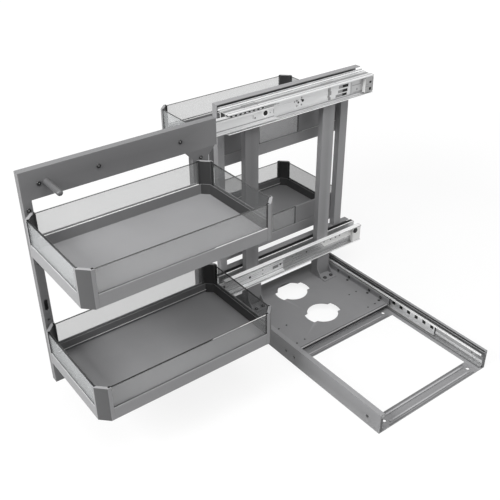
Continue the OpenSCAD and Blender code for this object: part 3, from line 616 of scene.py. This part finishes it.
# glass: clear faces, dark cut edges, the left panes lightened as painted light and the right ones darkened as
# painted shade
pane = {
    "rounding": 0.5, "edgeArea": 0.004, "endBand": 8,      # mm, square metres, mm
    "litX": ((-415, -350, rimHighlightCoat), (-350, -284, highlightPlastic)), "litY": (-52.2, -50.6), "litZ": (218.2, 218.7),
}
for side in ("front", "rear"):
    glass = copyOfNode(side + "_glass", side + "_glassPanels")
    roundEdges(glass, pane["rounding"], 1)
    coat(glass, glassPane)
    low, high = (Vector(corner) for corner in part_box(side + "_glass"))
    band = pane["endBand"] * mm
    # painted light on the left end panes, painted shade on the right end panes
    coatFaces(glass, paintedLightPane, lambda face: abs(face.normal.x) > 0.8 and face.center.x < low.x + band)
    coatFaces(glass, shadedPane, lambda face: abs(face.normal.x) > 0.8 and face.center.x > high.x - band)
    coatFaces(glass, glassEdge, lambda face: face.area < pane["edgeArea"])
    closeUp(glass)
    if side == "front":       # the lower near pane's top edge is lit at its right end, drawn as a painted highlight
        (y0, y1), (z0, z1) = pane["litY"], pane["litZ"]
        lights = [coat(block("edgeLight", (x0, y0, z0), (x1, y1, z1), 0.1, 1), tone)
                  for x0, x1, tone in pane["litX"]]
        joinAll([glass] + lights, glass.name)
    finish(glass, side + "_unit", side + "_glass")
print("glass made")


# corner posts: painted shade inside and on the chamfer, the two outer strips and the top in the tray's colour
cornerPost = {"rounding": 0.8, "skin": 1.5}
for side in ("front", "rear"):
    low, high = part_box(side + "_upper_tray")
    middle = (Vector(low) + Vector(high)) / 2
    posts = copyOfNode(side + "_corner_posts", side + "_cornerPosts")
    roundEdges(posts, cornerPost["rounding"])
    # deep painted shade inside the posts
    coat(posts, deepShadeCoat)
    # painted shade on the outer chamfers
    coatFaces(posts, darkShadeCoat, lambda face: min(abs(face.normal.x), abs(face.normal.y)) > 0.3
              and face.normal.x * (face.center.x - middle.x) > 0)
    coatFaces(posts, greyCoat, lambda face: any(
        abs(face.normal[i]) > 0.8 and face.normal[i] * (face.center[i] - middle[i]) > 0
        and abs(face.center[i] - middle[i]) > (high[i] - low[i]) / 2 - cornerPost["skin"] * mm for i in (0, 1)))
    coatFaces(posts, greyCoat, lambda face: face.normal.z > 0.5)
    closeUp(posts)
    finish(posts, side + "_unit", side + "_corner_posts")
print("corner posts made")


# screws and rivets: one modelled, the rest copied to the node's places
headShape = {
    # shares of the head's width, then shares of its height
    "arm": 0.3, "slit": 0.09, "wearAndGlint": 0.16,
    "rounding": 0.45, "recessFloor": 0.4, "glintFrom": 0.3, "glintTo": 0.85,
}


def headOn(name, head, shank, length, height, recess, material):
    # a rounded head that stands on z = 0, with a cross recess, and its shank below
    top = rod(name, (0, 0, 0), (0, 0, height), head, 24, height * headShape["rounding"], 3)
    if recess:
        arm, wide, deep = head * headShape["arm"], head * headShape["slit"], height * headShape["recessFloor"]
        cutOut(top, [block("armX", (-arm, -wide, deep), (arm, wide, height + 1)),
                     block("armY", (-wide, -arm, deep), (wide, arm, height + 1))])
    stem = rod(name + "Shank", (0, 0, -length), (0, 0, 0.2), shank, 16, 0.3, 1)
    pieces = [coat(top, material), coat(stem, material)]
    if recess:      # the driver has worn the bottom of the cross bright, drawn as a painted glint
        wearAndGlint = rod(name + "WearAndGlint", (0, 0, height * headShape["glintFrom"]), (0, 0, height * headShape["glintTo"]),
                   head * headShape["wearAndGlint"], 12)
        pieces.append(coat(wearAndGlint, highlightZinc))
    return joinAll(pieces, name)


screws = {
    # node: body, head, shank and head height in mm, way the head faces, cross recess, finish, slot
    "front_frame_screws": ("front_unit", 9.4, 4, 2.3, (0, -1, 0), True, blackScrew, "black screws"),
    "rear_frame_screws": ("rear_unit", 9.4, 4, 2.3, (0, 1, 0), True, blackScrew, "black screws"),
    "carriage_screws": ("carriage", 7.5, 4, 2.0, "inwards", True, blackScrew, "black screws"),
    "foot_screws": ("carriage", 10, 5, 3.0, (0, 0, 1), True, blackScrew, "black screws"),
    "floor_slide_rivets": ("floor_frame", 7, 4, 1.5, "outwards", False, blackScrew, "black screws"),
    "slide_screws": ("carriage", 7.5, 4, 1.5, "slides", True, slideZinc, "zinc"),
}
postMiddle = 224      # y in mm between the front slides and the rear ones
for node, (body, head, shank, height, way, recess, material, slot) in screws.items():
    parts = []
    for low, high in partsOf(node):
        middle = Vector([(a + b) / 2 for a, b in zip(low, high)])
        side = math.copysign(1, middle.x)
        facing = {"inwards": (-side, 0, 0), "outwards": (side, 0, 0),
                  "slides": (0, math.copysign(1, middle.y - postMiddle), 0)}.get(way, way)
        facing = Vector(facing)
        along = max(range(3), key=lambda i: abs(facing[i]))
        if not parts:
            length = high[along] - low[along] - height
            first = headOn(node + "_one", head, shank, length, height, recess, material)
            closeUp(first, 30)
        end = middle + facing * (high[along] - low[along]) / 2 - facing * height
        turn = facing.to_track_quat("Z", "Y").to_matrix().to_4x4()
        parts.append(copyAt(first, node + "_copy", turn, end))
    bpy.data.objects.remove(first)
    finish(joinAll(parts, node + "_detailed"), body, node)
print("screws made")


# slides: raceway lines, pressed marks, holes and the parts that fill them, in painted shade and painted
# highlights. Depths are from the posts' face, heights from the slide's middle line
slides = {
    "leftEnd": -186.5, "rightEnd": 243.5, "upper": 522, "lower": 104, "postFace": {-1: 216, 1: 232},
    "fixedWeb": 1.5, "middleWeb": 4.2, "mouth": 12.4, "edge": 0.35, "shineZ": (22.5, 22.95),
    "marksFrom": {"upper": -185.5, "lower": -203}, "lipsFrom": {"upper": -185.5, "lower": -204},
    "middleLength": 410, "middleFrom": {
        "front_upper_middle_slide": -465, "front_lower_middle_slide": -430,
        "rear_upper_middle_slide": -205, "rear_lower_middle_slide": -205}, "middleTrim": -186,
}
# painted shade lines and a painted highlight line along the raceways
# thickness, heights, finish
raceways = [(0.12, 10.5, 15.5, shadeLineZinc), (0.2, 7.2, 10.2, highlightZinc), (0.12, -13.5, -11.5, shadeLineZinc)]
# painted shade for pressed marks; on the lower one a panel of painted shade crossed by a painted highlight line
middleStrips = {
    # thickness, from and to right of the right end, heights, finish
    "upper": [(0.12, -60.9, -58.9, -5, 3, shadeLineZinc), (0.12, -3.4, -1.9, -6, 4, shadeLineZinc)],
    "lower": [(0.12, -34, -16, -5, 3, shadeLineZinc), (0.1, -216, -181, -11, 8, gapShade),
              (0.2, -216, -181, -1, 0.4, slideZinc)],
}
# painted shade in holes and marks, and a painted highlight on the upper one's raised ring
middleDiscs = {
    # thickness, place right of the right end, height, width, finish, sides
    "upper": [(0.1, -54, 0, 17.5, slideZinc, 32), (0.18, -25.4, 0, 17, highlightZinc, 32),
              (0.26, -25.4, 0, 12, gapShade, 32), (0.15, -54.4, -4.5, 4, gapShade, 20),
              (0.15, -12.4, -2, 3, shadeLineZinc, 20)],
    "lower": [(0.1, -54, 0, 17.5, paintedLightZinc, 32), (0.26, -106, 0, 6.5, gapShade, 20),
              (0.26, -9, 1, 6, gapShade, 20), (0.15, -66, 6, 3.5, gapShade, 20),
              (0.15, -66, -6, 3.5, gapShade, 20)],
}
# painted shade in the fixed slides' holes and marks
webDiscs = {
    # thickness, x, height, width, finish
    "upper": [(0.2, 29.7, 2.9, 6.5, gapShade), (0.2, 16.3, 1.2, 5, gapShade), (0.15, 5, 5, 4, shadeLineZinc),
              (0.15, 26, 11, 4, shadeLineZinc), (0.2, 200.7, -7.5, 6, shadeLineZinc)],
    "lower": [(0.2, 60, 2, 4, gapShade)],
}
# painted shade on the upper fixed slide's web and along its lines
webStrips = {
    # thickness, x from and to, heights, finish
    "upper": [(0.12, 178, 217, -18, 20, shadedZinc), (0.2, 184, 214, 3, 5, shadeLineZinc),
              (0.2, 190, 226, -15, -13.5, shadeLineZinc), (0.2, 181, 182.5, -12, 12, shadeLineZinc)],
    "lower": [],
}
# painted shade and painted highlight lines along the lips
lipLines = [
    # depths, heights, finish
    (1.5, 1.7, -18, -16.8, shadeLineZinc), (10.2, 12.2, 22.7, 22.9, highlightZinc), (0.2, 1.6, 22.7, 22.9, highlightZinc),
    (4.2, 6.2, 22.7, 22.85, shadeLineZinc), (3.5, 5.2, -21.4, -21.15, shadeLineZinc),
    (9.3, 10.8, -21.4, -21.15, shadeLineZinc),
]
# painted highlight and painted shade on the lip's face
lipFaces = {      # heights, finish
    "upper": [(-22.7, -20.9, gleam), (-20.9, -19.8, shadeLineZinc)], "lower": [(-22.5, -19.5, gleam)],
}
# painted highlight on the lower lips, and painted shade on the rear one's far part
lowerLips = {      # depths, finish
    "front": [(1.2, 12.3, gleam)], "rear": [(0.2, 3.2, gleam), (3.3, 12.3, gapShade)],
}
upperParts = {
    # the cover between the two upper slides in shaded zinc, with painted shade at its open left end, then the
    # rear slide's raised outer lip and the pressed line along its back in painted shade: name, x, y and heights
    # from and to, rounding, finish
    "front": [("endShade", -185.9, -185.3, 204.2, 214.4, 18.4, 21.3, 0, gapShade),
              ("cover", -186.5, 243.5, 215.9, 232.1, 20.8, 22.2, 0.3, shadedZinc),
              ("coverLine", -185.5, 243, 221.5, 227, 21.4, 22.4, 0, shadeLineZinc),
              ("coverEnd", -186.2, -185.5, 216.1, 231.9, -2, 20.9, 0, gapShade)],
    "rear": [("raisedLip", -185.5, 243.5, 243.9, 244.4, 22.6, 27.4, 0.2, slideZinc),
             ("raisedLine", -185.5, 243.4, 243.7, 244.3, 24.4, 25.6, 0, shadeLineZinc),
             ("backLine", -185.5, 243.4, 231.85, 232.1, 16, 17.6, 0, shadeLineZinc)],
}


def onSlide(way, depth):
    # y of a depth in mm from the posts' face, on the front slides (-1) or the rear ones (1)
    return slides["postFace"][way] + way * depth


def strip(name, way, depth, thick, x0, x1, z0, z1, material, rounding=0):
    a, b = sorted((onSlide(way, depth), onSlide(way, depth + thick)))
    return coat(block(name, (x0, a, z0), (x1, b, z1), rounding, 1), material)


def disc(name, way, depth, thick, x, z, width, material, stretch=1, sides=20):
    y = onSlide(way, depth)
    piece = rod(name, (x, y, z), (x, y + thick * way, z), width, sides)
    if stretch != 1:
        takeUp(piece)
        bpy.ops.transform.resize(value=(stretch, 1, 1), center_override=Vector((x, y, z)) * mm)
        bpy.ops.object.transform_apply(location=True, rotation=True, scale=True)
    return coat(piece, material)


def middleMarks(level, way, left, right):
    # a middle member's raceway lines, its round hole and the pressed marks beside it, in painted shade and
    # painted highlights
    depth, z = slides["middleWeb"], slides[level]
    marks = [strip("raceway", way, depth, thick, left + 1, right - 1, z + low, z + high, tone)
             for thick, low, high, tone in raceways]
    marks += [strip("pressedMark", way, depth, thick, right + a, right + b, z + low, z + high, tone)
              for thick, a, b, low, high, tone in middleStrips[level]]
    return marks + [disc("hole", way, depth, thick, right + x, z + up, width, tone, sides=sides)
                    for thick, x, up, width, tone, sides in middleDiscs[level]]


for side, way in (("front", -1), ("rear", 1)):
    for level in ("upper", "lower"):
        node = side + "_" + level + "_middle_slide"
        left = slides["middleFrom"][node]
        right = left + slides["middleLength"]
        piece = copyOfNode(node, node + "_folded")
        if node == "rear_upper_middle_slide":      # it ends inside the trimmed fixed slide
            left = slides["middleTrim"]
            trimLeft(piece, left)
        roundEdges(piece, slides["edge"])
        closeUp(piece)
        # the lower middle slides in zinc lightened as painted light
        coat(piece, paintedLightZinc if level == "lower" else slideZinc)
        joinAll([piece] + middleMarks(level, way, left, right), piece.name)
        finish(piece, side + "_middle_slides", node)

for side, way in (("front", -1), ("rear", 1)):
    for level in ("upper", "lower"):
        node = side + "_" + level + "_slide"
        z, web, right = slides[level], slides["fixedWeb"], slides["rightEnd"]
        left, lipLeft = slides["marksFrom"][level], slides["lipsFrom"][level]
        piece = copyOfNode(node, node + "_folded")
        if level == "upper":      # the photo shows its left end a little further in than the solid's
            trimLeft(piece, slides["leftEnd"])
        roundEdges(piece, slides["edge"])
        closeUp(piece)
        # the lower fixed slides in zinc darkened as painted shade
        coat(piece, paintedShadeZinc if level == "lower" else slideZinc)
        marks = [disc("webHole", way, web, thick, x, z + up, width, tone)
                 for thick, x, up, width, tone in webDiscs[level]]
        marks += [strip("webMark", way, web, thick, a, b, z + low, z + high, tone)
                  for thick, a, b, low, high, tone in webStrips[level]]
        for a, b, low, high, tone in lipLines:      # the lower lip's lines end a little short
            end = right if low > 0 else right - 0.5
            marks.append(strip("lipLine", way, a, b - a, left, end, z + low, z + high, tone))
        if way < 0:
            marks += [strip("lipFace", way, slides["mouth"], 0.2, lipLeft, right, z + low, z + high, tone)
                      for low, high, tone in lipFaces[level]]
        if level == "lower":      # the lip that catches the light, drawn as a painted highlight, and its painted shade
            low, high = slides["shineZ"]
            marks += [strip("lipShine", way, a, b - a, lipLeft, right, z + low, z + high, tone, 0.1)
                      for a, b, tone in lowerLips[side]]
        else:
            marks += [coat(block(name, (x0, y0, z + z0), (x1, y1, z + z1), rounding, 1), tone)
                      for name, x0, x1, y0, y1, z0, z1, rounding, tone in upperParts[side]]
        joinAll([piece] + marks, piece.name)
        finish(piece, "carriage", node)
print("slides detailed")


# ball cages: the copied cage, with its balls shown as painted shade dots at the slides' mouths
outerCage = {
    "firstBall": {"front": -178.9, "rear": -78}, "pitch": 12.1, "count": 8, "width": 3.9, "stretch": 1.55,
    "up": 18, "mouth": 12.32, "mark": 0.2, "slotX": (6, 46), "slotZ": (17.2, 18.8), "leftEnd": -185,
}
for side, way in (("front", -1), ("rear", 1)):
    node = side + "_outer_ball_cages"
    z, mouth, mark = slides["upper"], outerCage["mouth"], outerCage["mark"]
    piece = copyOfNode(node, node + "_detailed")
    trimLeft(piece, outerCage["leftEnd"])
    closeUp(piece, 35)
    coat(piece, slideZinc)
    up, width, stretch = (outerCage[key] for key in ("up", "width", "stretch"))
    places = [outerCage["firstBall"][side] + k * outerCage["pitch"] for k in range(outerCage["count"])]
    shades = [disc("ball", way, mouth, mark, x, z + up, width, gapShade, stretch, 16) for x in places]
    # painted shade on the cage's slot
    (x0, x1), (z0, z1) = outerCage["slotX"], outerCage["slotZ"]
    shades.append(strip("slot", way, mouth, mark, places[-1] + x0, places[-1] + x1, z + z0, z + z1, shadeLineZinc))
    joinAll([piece] + shades, piece.name)
    finish(piece, side + "_outer_cages", node)

floorCage = {
    "pitch": 25, "count": 16, "first": -130, "height": 22.5, "halfWindow": (5.2, 4.7), "web": (165.78, 166.02),
    "tab": 3, "tabX": (165.0, 165.6),
}
for side, sign in (("left", -1), ("right", 1)):
    node = side + "_floor_ball_cage"
    low, high = (Vector(corner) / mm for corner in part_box(node))
    piece = copyOfNode(node, node + "_detailed")
    closeUp(piece, 35)
    coat(piece, floorCageZinc)
    z, (wide, tall), tab = floorCage["height"], floorCage["halfWindow"], floorCage["tab"]
    x0, x1 = sorted(sign * x for x in floorCage["web"])
    places = [floorCage["first"] + k * floorCage["pitch"] for k in range(floorCage["count"])]
    # painted shade behind each window and on the tab at its end
    shades = [block("windowShade", (x0, y - wide, z - tall), (x1, y + wide, z + tall)) for y in places]
    x0, x1 = sorted(sign * x for x in floorCage["tabX"])
    shades.append(block("endTab", (x0, low.y, low.z + tab), (x1, low.y + tab, high.z - tab), 0.2))
    joinAll([piece] + [coat(shade, gapShade) for shade in shades], piece.name)
    finish(piece, "floor_ball_cages", node)
print("ball cages made")


# soft close units: a slotted plate over a back of painted shade, and the cap at the slide's right end
softClose = {
    # depth, thickness, x and heights from and to; each slot's x from and to and its middle's height
    "plate": (1.7, 0.7, 109, 177, -14, 14), "slots": ((140, 171, 9.6), (138, 169, -1.4), (131, 167, -11)),
    "slotHigh": 7.4, "cap": (1.6, 10.6, 218.5, 244.3, -19, 20), "capRounding": 0.8,
    # painted shade behind the plate and along its edges, ramp and ribs
    # name, depth, thickness, x and heights from and to, finish
    "behind": (("softCloseBack", 1.52, 0.2, 153, 176, -14, 13.5, gapShade),
               ("softCloseRamp", 1.52, 0.25, 108, 153, -14, 13.5, shadeLineZinc),
               ("softCloseEdge", 1.52, 1.0, 107, 114, 6, 15, shadeLineZinc),
               ("softCloseEdge", 1.52, 1.0, 109, 116.5, -3, 6, shadeLineZinc),
               ("softCloseEdge", 1.52, 1.0, 106, 112, -8, -3, shadeLineZinc),
               ("softCloseEdge", 1.52, 1.0, 108, 115, -15, -8, shadeLineZinc),
               ("softCloseRib", 2.0, 0.38, 112, 124, 8, 9.2, shadeLineZinc),
               ("softCloseRib", 2.0, 0.38, 112, 124, -1, 0.2, shadeLineZinc),
               ("softCloseRib", 2.0, 0.38, 112, 124, -9, -7.8, shadeLineZinc)),
    # painted shade marks and lines on the cap
    "onCap": (("capMark", 12.1, 0.25, 240.3, 244, -17, 16, shadeLineZinc),
              ("capMark", 12.1, 0.25, 231, 237.5, 3.5, 8.5, gapShade),
              ("capMark", 12.1, 0.25, 231, 238, -14, -7, gapShade),
              ("capLine", 12.1, 0.2, 219.5, 230, -4.5, -3, shadeLineZinc),
              ("capLine", 12.1, 0.2, 220.5, 229, 1, 2.2, shadeLineZinc)),
}


def softCloseUnit(way):
    z, tall = slides["upper"], softClose["slotHigh"] / 2

    def part(name, depth, thick, x0, x1, low, high, tone, rounding=0):
        return strip(name, way, depth, thick, x0, x1, z + low, z + high, tone, rounding)

    cover = part("softClosePlate", *softClose["plate"], slideZinc)
    cutOut(cover, [part("slotCutter", 0.5, 3, a, b, up - tall, up + tall, gapShade)
                   for a, b, up in softClose["slots"]])
    parts = [cover] + [part(*row) for row in softClose["behind"]]
    cap = part("endCap", *softClose["cap"], capPlastic, softClose["capRounding"])
    # painted light on the cap's left face
    coatFaces(cap, highlightPlastic, lambda face: face.normal.x < -0.8)
    return parts + [cap] + [part(*row) for row in softClose["onCap"]]


units = softCloseUnit(-1) + softCloseUnit(1)
closeUp(joinAll(units, "softCloseUnits"))
finish(units[0], "carriage", "soft_close_units")


# end blocks in the lower slides, with the white tongue that lies in the web
endBlock = {
    "bumper": (225, 116, 14.9), "deep": 4.1,
    "tongueX": (104, 218), "tongueZ": (-4, 18), "tongueDepth": 1.52, "tongueThick": 0.8, "slant": 0.67,
    "holesUp": 10.6, "holes": ((120, 4), (143, 4.5), (161, 5), (175.4, 4)), "holeDepth": 2.3,
}


def endStop(way, low, high):
    # the block with a round seat for the bumper in its open face
    x, z, width = endBlock["bumper"]
    ends = (low[1] - 1, low[1] + endBlock["deep"]) if way < 0 else (high[1] - endBlock["deep"], high[1] + 1)
    stop = coat(block("endStop", low, high, 1.0, 2), lightPlastic)
    return cutOut(stop, [rod("bumperSeat", (x, ends[0], z), (x, ends[1], z), width, 32)])


def tongue(way):
    z, (left, right), (bottom, top) = slides["lower"], endBlock["tongueX"], endBlock["tongueZ"]
    piece = strip("endTongue", way, endBlock["tongueDepth"], endBlock["tongueThick"], left, right,
                  z + bottom, z + top, whitePlastic, 0.3)
    y = onSlide(way, 2)      # the cutter that slants its left end
    wedge = block("tongueCutter", (left - 20, y - 5, z - 30), (left, y + 5, z + top))
    takeUp(wedge)
    corner = Vector((left, 0, z + top)) * mm
    bpy.ops.transform.rotate(value=endBlock["slant"], orient_axis="Y", center_override=corner)
    bpy.ops.object.transform_apply(location=True, rotation=True, scale=True)
    cutOut(piece, [wedge])
    # painted shade in the tongue's holes
    depth, up = endBlock["holeDepth"], endBlock["holesUp"]
    return [piece] + [disc("tongueHole", way, depth, 0.1, x, z + up, width, gapShade)
                      for x, width in endBlock["holes"]]


stops = []
for way in (-1, 1):
    stops += [endStop(way, low, high) for low, high in partsOf("end_stops")
              if (low[1] < postMiddle) == (way < 0)]
    stops += tongue(way)
closeUp(joinAll(stops, "endStops"))
finish(stops[0], "carriage", "end_stops")

bumpers = []
for low, high in partsOf("end_bumpers"):
    x, z = (low[0] + high[0]) / 2, (low[2] + high[2]) / 2
    bumpers.append(rod("bumper", (x, low[1], z), (x, high[1], z), high[0] - low[0], 32, 1.0, 3))
coat(closeUp(joinAll(bumpers, "endBumpers"), 30), blackRubber)
finish(bumpers[0], "carriage", "end_bumpers")
print("stops and bumpers made")


# stage, lamps and camera
studio = {
    "floorSize": 8.0, "floorGlow": (0.86, 1.0), "floorFade": (0.9, 2.2), "floorTone": 0.14, "bounceTone": 0.60,
    "worldGlow": 0.24, "aim": (-0.1, 0.1, 0.25),
    "top": {"place": (-0.4, -0.6, 2.5), "size": 2.0, "power": 50},
    "left": {"place": (-1.9, 0.0, 1.35), "size": 0.7, "power": 32},
    "front": {"place": (1.5, -1.2, 0.7), "size": 1.0, "power": 7},
}


def visibleMask(tree):
    # 1 for what the eye, a gloss or a glass sees directly
    path = tree.nodes.new("ShaderNodeLightPath")
    first = tree.nodes.new("ShaderNodeMath")
    first.operation = "MAXIMUM"
    second = tree.nodes.new("ShaderNodeMath")
    second.operation = "MAXIMUM"
    tree.links.new(path.outputs["Is Camera Ray"], first.inputs[0])
    tree.links.new(path.outputs["Is Glossy Ray"], first.inputs[1])
    tree.links.new(first.outputs[0], second.inputs[0])
    tree.links.new(path.outputs["Is Transmission Ray"], second.inputs[1])
    return second.outputs[0]


def makeFloor():
    nothingSelected()
    bpy.ops.mesh.primitive_plane_add(size=studio["floorSize"], location=(0, 0, -0.0003))
    floor = bpy.context.object
    floor.name = "studioFloor"
    closeUp(floor)
    material = bpy.data.materials.new("studioWhite")
    material.use_nodes = True
    tree = material.node_tree
    tree.nodes.clear()
    out = tree.nodes.new("ShaderNodeOutputMaterial")
    seen = tree.nodes.new("ShaderNodeAddShader")
    glow = tree.nodes.new("ShaderNodeEmission")
    place = tree.nodes.new("ShaderNodeTexCoord")
    reach = tree.nodes.new("ShaderNodeVectorMath")
    reach.operation = "LENGTH"
    fade = tree.nodes.new("ShaderNodeMapRange")
    fade.inputs["From Min"].default_value, fade.inputs["From Max"].default_value = studio["floorFade"]
    fade.inputs["To Min"].default_value, fade.inputs["To Max"].default_value = studio["floorGlow"]
    tree.links.new(place.outputs["Object"], reach.inputs[0])
    tree.links.new(reach.outputs["Value"], fade.inputs["Value"])
    tree.links.new(fade.outputs["Result"], glow.inputs["Strength"])
    shade = tree.nodes.new("ShaderNodeBsdfDiffuse")
    shade.inputs["Color"].default_value = grey(studio["floorTone"])
    bounce = tree.nodes.new("ShaderNodeBsdfDiffuse")
    bounce.inputs["Color"].default_value = grey(studio["bounceTone"])
    mix = tree.nodes.new("ShaderNodeMixShader")
    tree.links.new(glow.outputs[0], seen.inputs[0])
    tree.links.new(shade.outputs[0], seen.inputs[1])
    tree.links.new(visibleMask(tree), mix.inputs[0])
    tree.links.new(bounce.outputs[0], mix.inputs[1])
    tree.links.new(seen.outputs[0], mix.inputs[2])
    tree.links.new(mix.outputs[0], out.inputs["Surface"])
    floor.data.materials.append(material)
    floor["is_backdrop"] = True


def makeWorld():
    world = bpy.data.worlds.new("studioWorld")
    bpy.context.scene.world = world
    world.use_nodes = True
    tree = world.node_tree
    tree.nodes.clear()
    out = tree.nodes.new("ShaderNodeOutputWorld")
    light = tree.nodes.new("ShaderNodeBackground")
    light.inputs["Strength"].default_value = studio["worldGlow"]
    white = tree.nodes.new("ShaderNodeBackground")
    mix = tree.nodes.new("ShaderNodeMixShader")
    light.inputs["Color"].default_value = (1, 1, 1, 1)
    white.inputs["Color"].default_value = (1, 1, 1, 1)
    tree.links.new(visibleMask(tree), mix.inputs[0])
    tree.links.new(light.outputs[0], mix.inputs[1])
    tree.links.new(white.outputs[0], mix.inputs[2])
    tree.links.new(mix.outputs[0], out.inputs["Surface"])


def makeLamp(name, settings):
    lamp = bpy.data.lights.new(name, "AREA")
    lamp.shape = "SQUARE"
    lamp.size = settings["size"]
    lamp.energy = settings["power"]
    holder = bpy.data.objects.new(name, lamp)
    bpy.context.scene.collection.objects.link(holder)
    holder.location = settings["place"]
    aim = Vector(studio["aim"]) - Vector(settings["place"])
    holder.rotation_euler = aim.to_track_quat("-Z", "Y").to_euler()


view = {
    "place": (-1034.30, -996.54, 1126.60), "azimuth": -36.95, "height": 31.95, "roll": -0.33,
    "focus": 738.38, "pixels": 500, "sensor": 36,
}


def makeCamera():
    turn, height, roll = (math.radians(view[k]) for k in ("azimuth", "height", "roll"))
    back = Vector((math.sin(turn) * math.cos(height), -math.cos(turn) * math.cos(height), math.sin(height)))
    level = Vector((math.cos(turn), math.sin(turn), 0))
    rise = back.cross(level)
    right = level * math.cos(roll) + rise * math.sin(roll)
    up = rise * math.cos(roll) - level * math.sin(roll)
    lens = bpy.data.cameras.new("photoCamera")
    lens.sensor_width = view["sensor"]
    lens.lens = view["focus"] / view["pixels"] * view["sensor"]
    camera = bpy.data.objects.new("photoCamera", lens)
    bpy.context.scene.collection.objects.link(camera)
    stand = Matrix((right, up, back)).transposed().to_4x4()
    camera.matrix_world = Matrix.Translation(Vector(view["place"]) * mm) @ stand
    bpy.context.scene.camera = camera


makeFloor()
makeWorld()
for name in ("top", "left", "front"):
    makeLamp(name + "Softbox", studio[name])
makeCamera()
bpy.context.scene.view_settings.view_transform = "Standard"
print("stage set")

low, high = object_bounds()
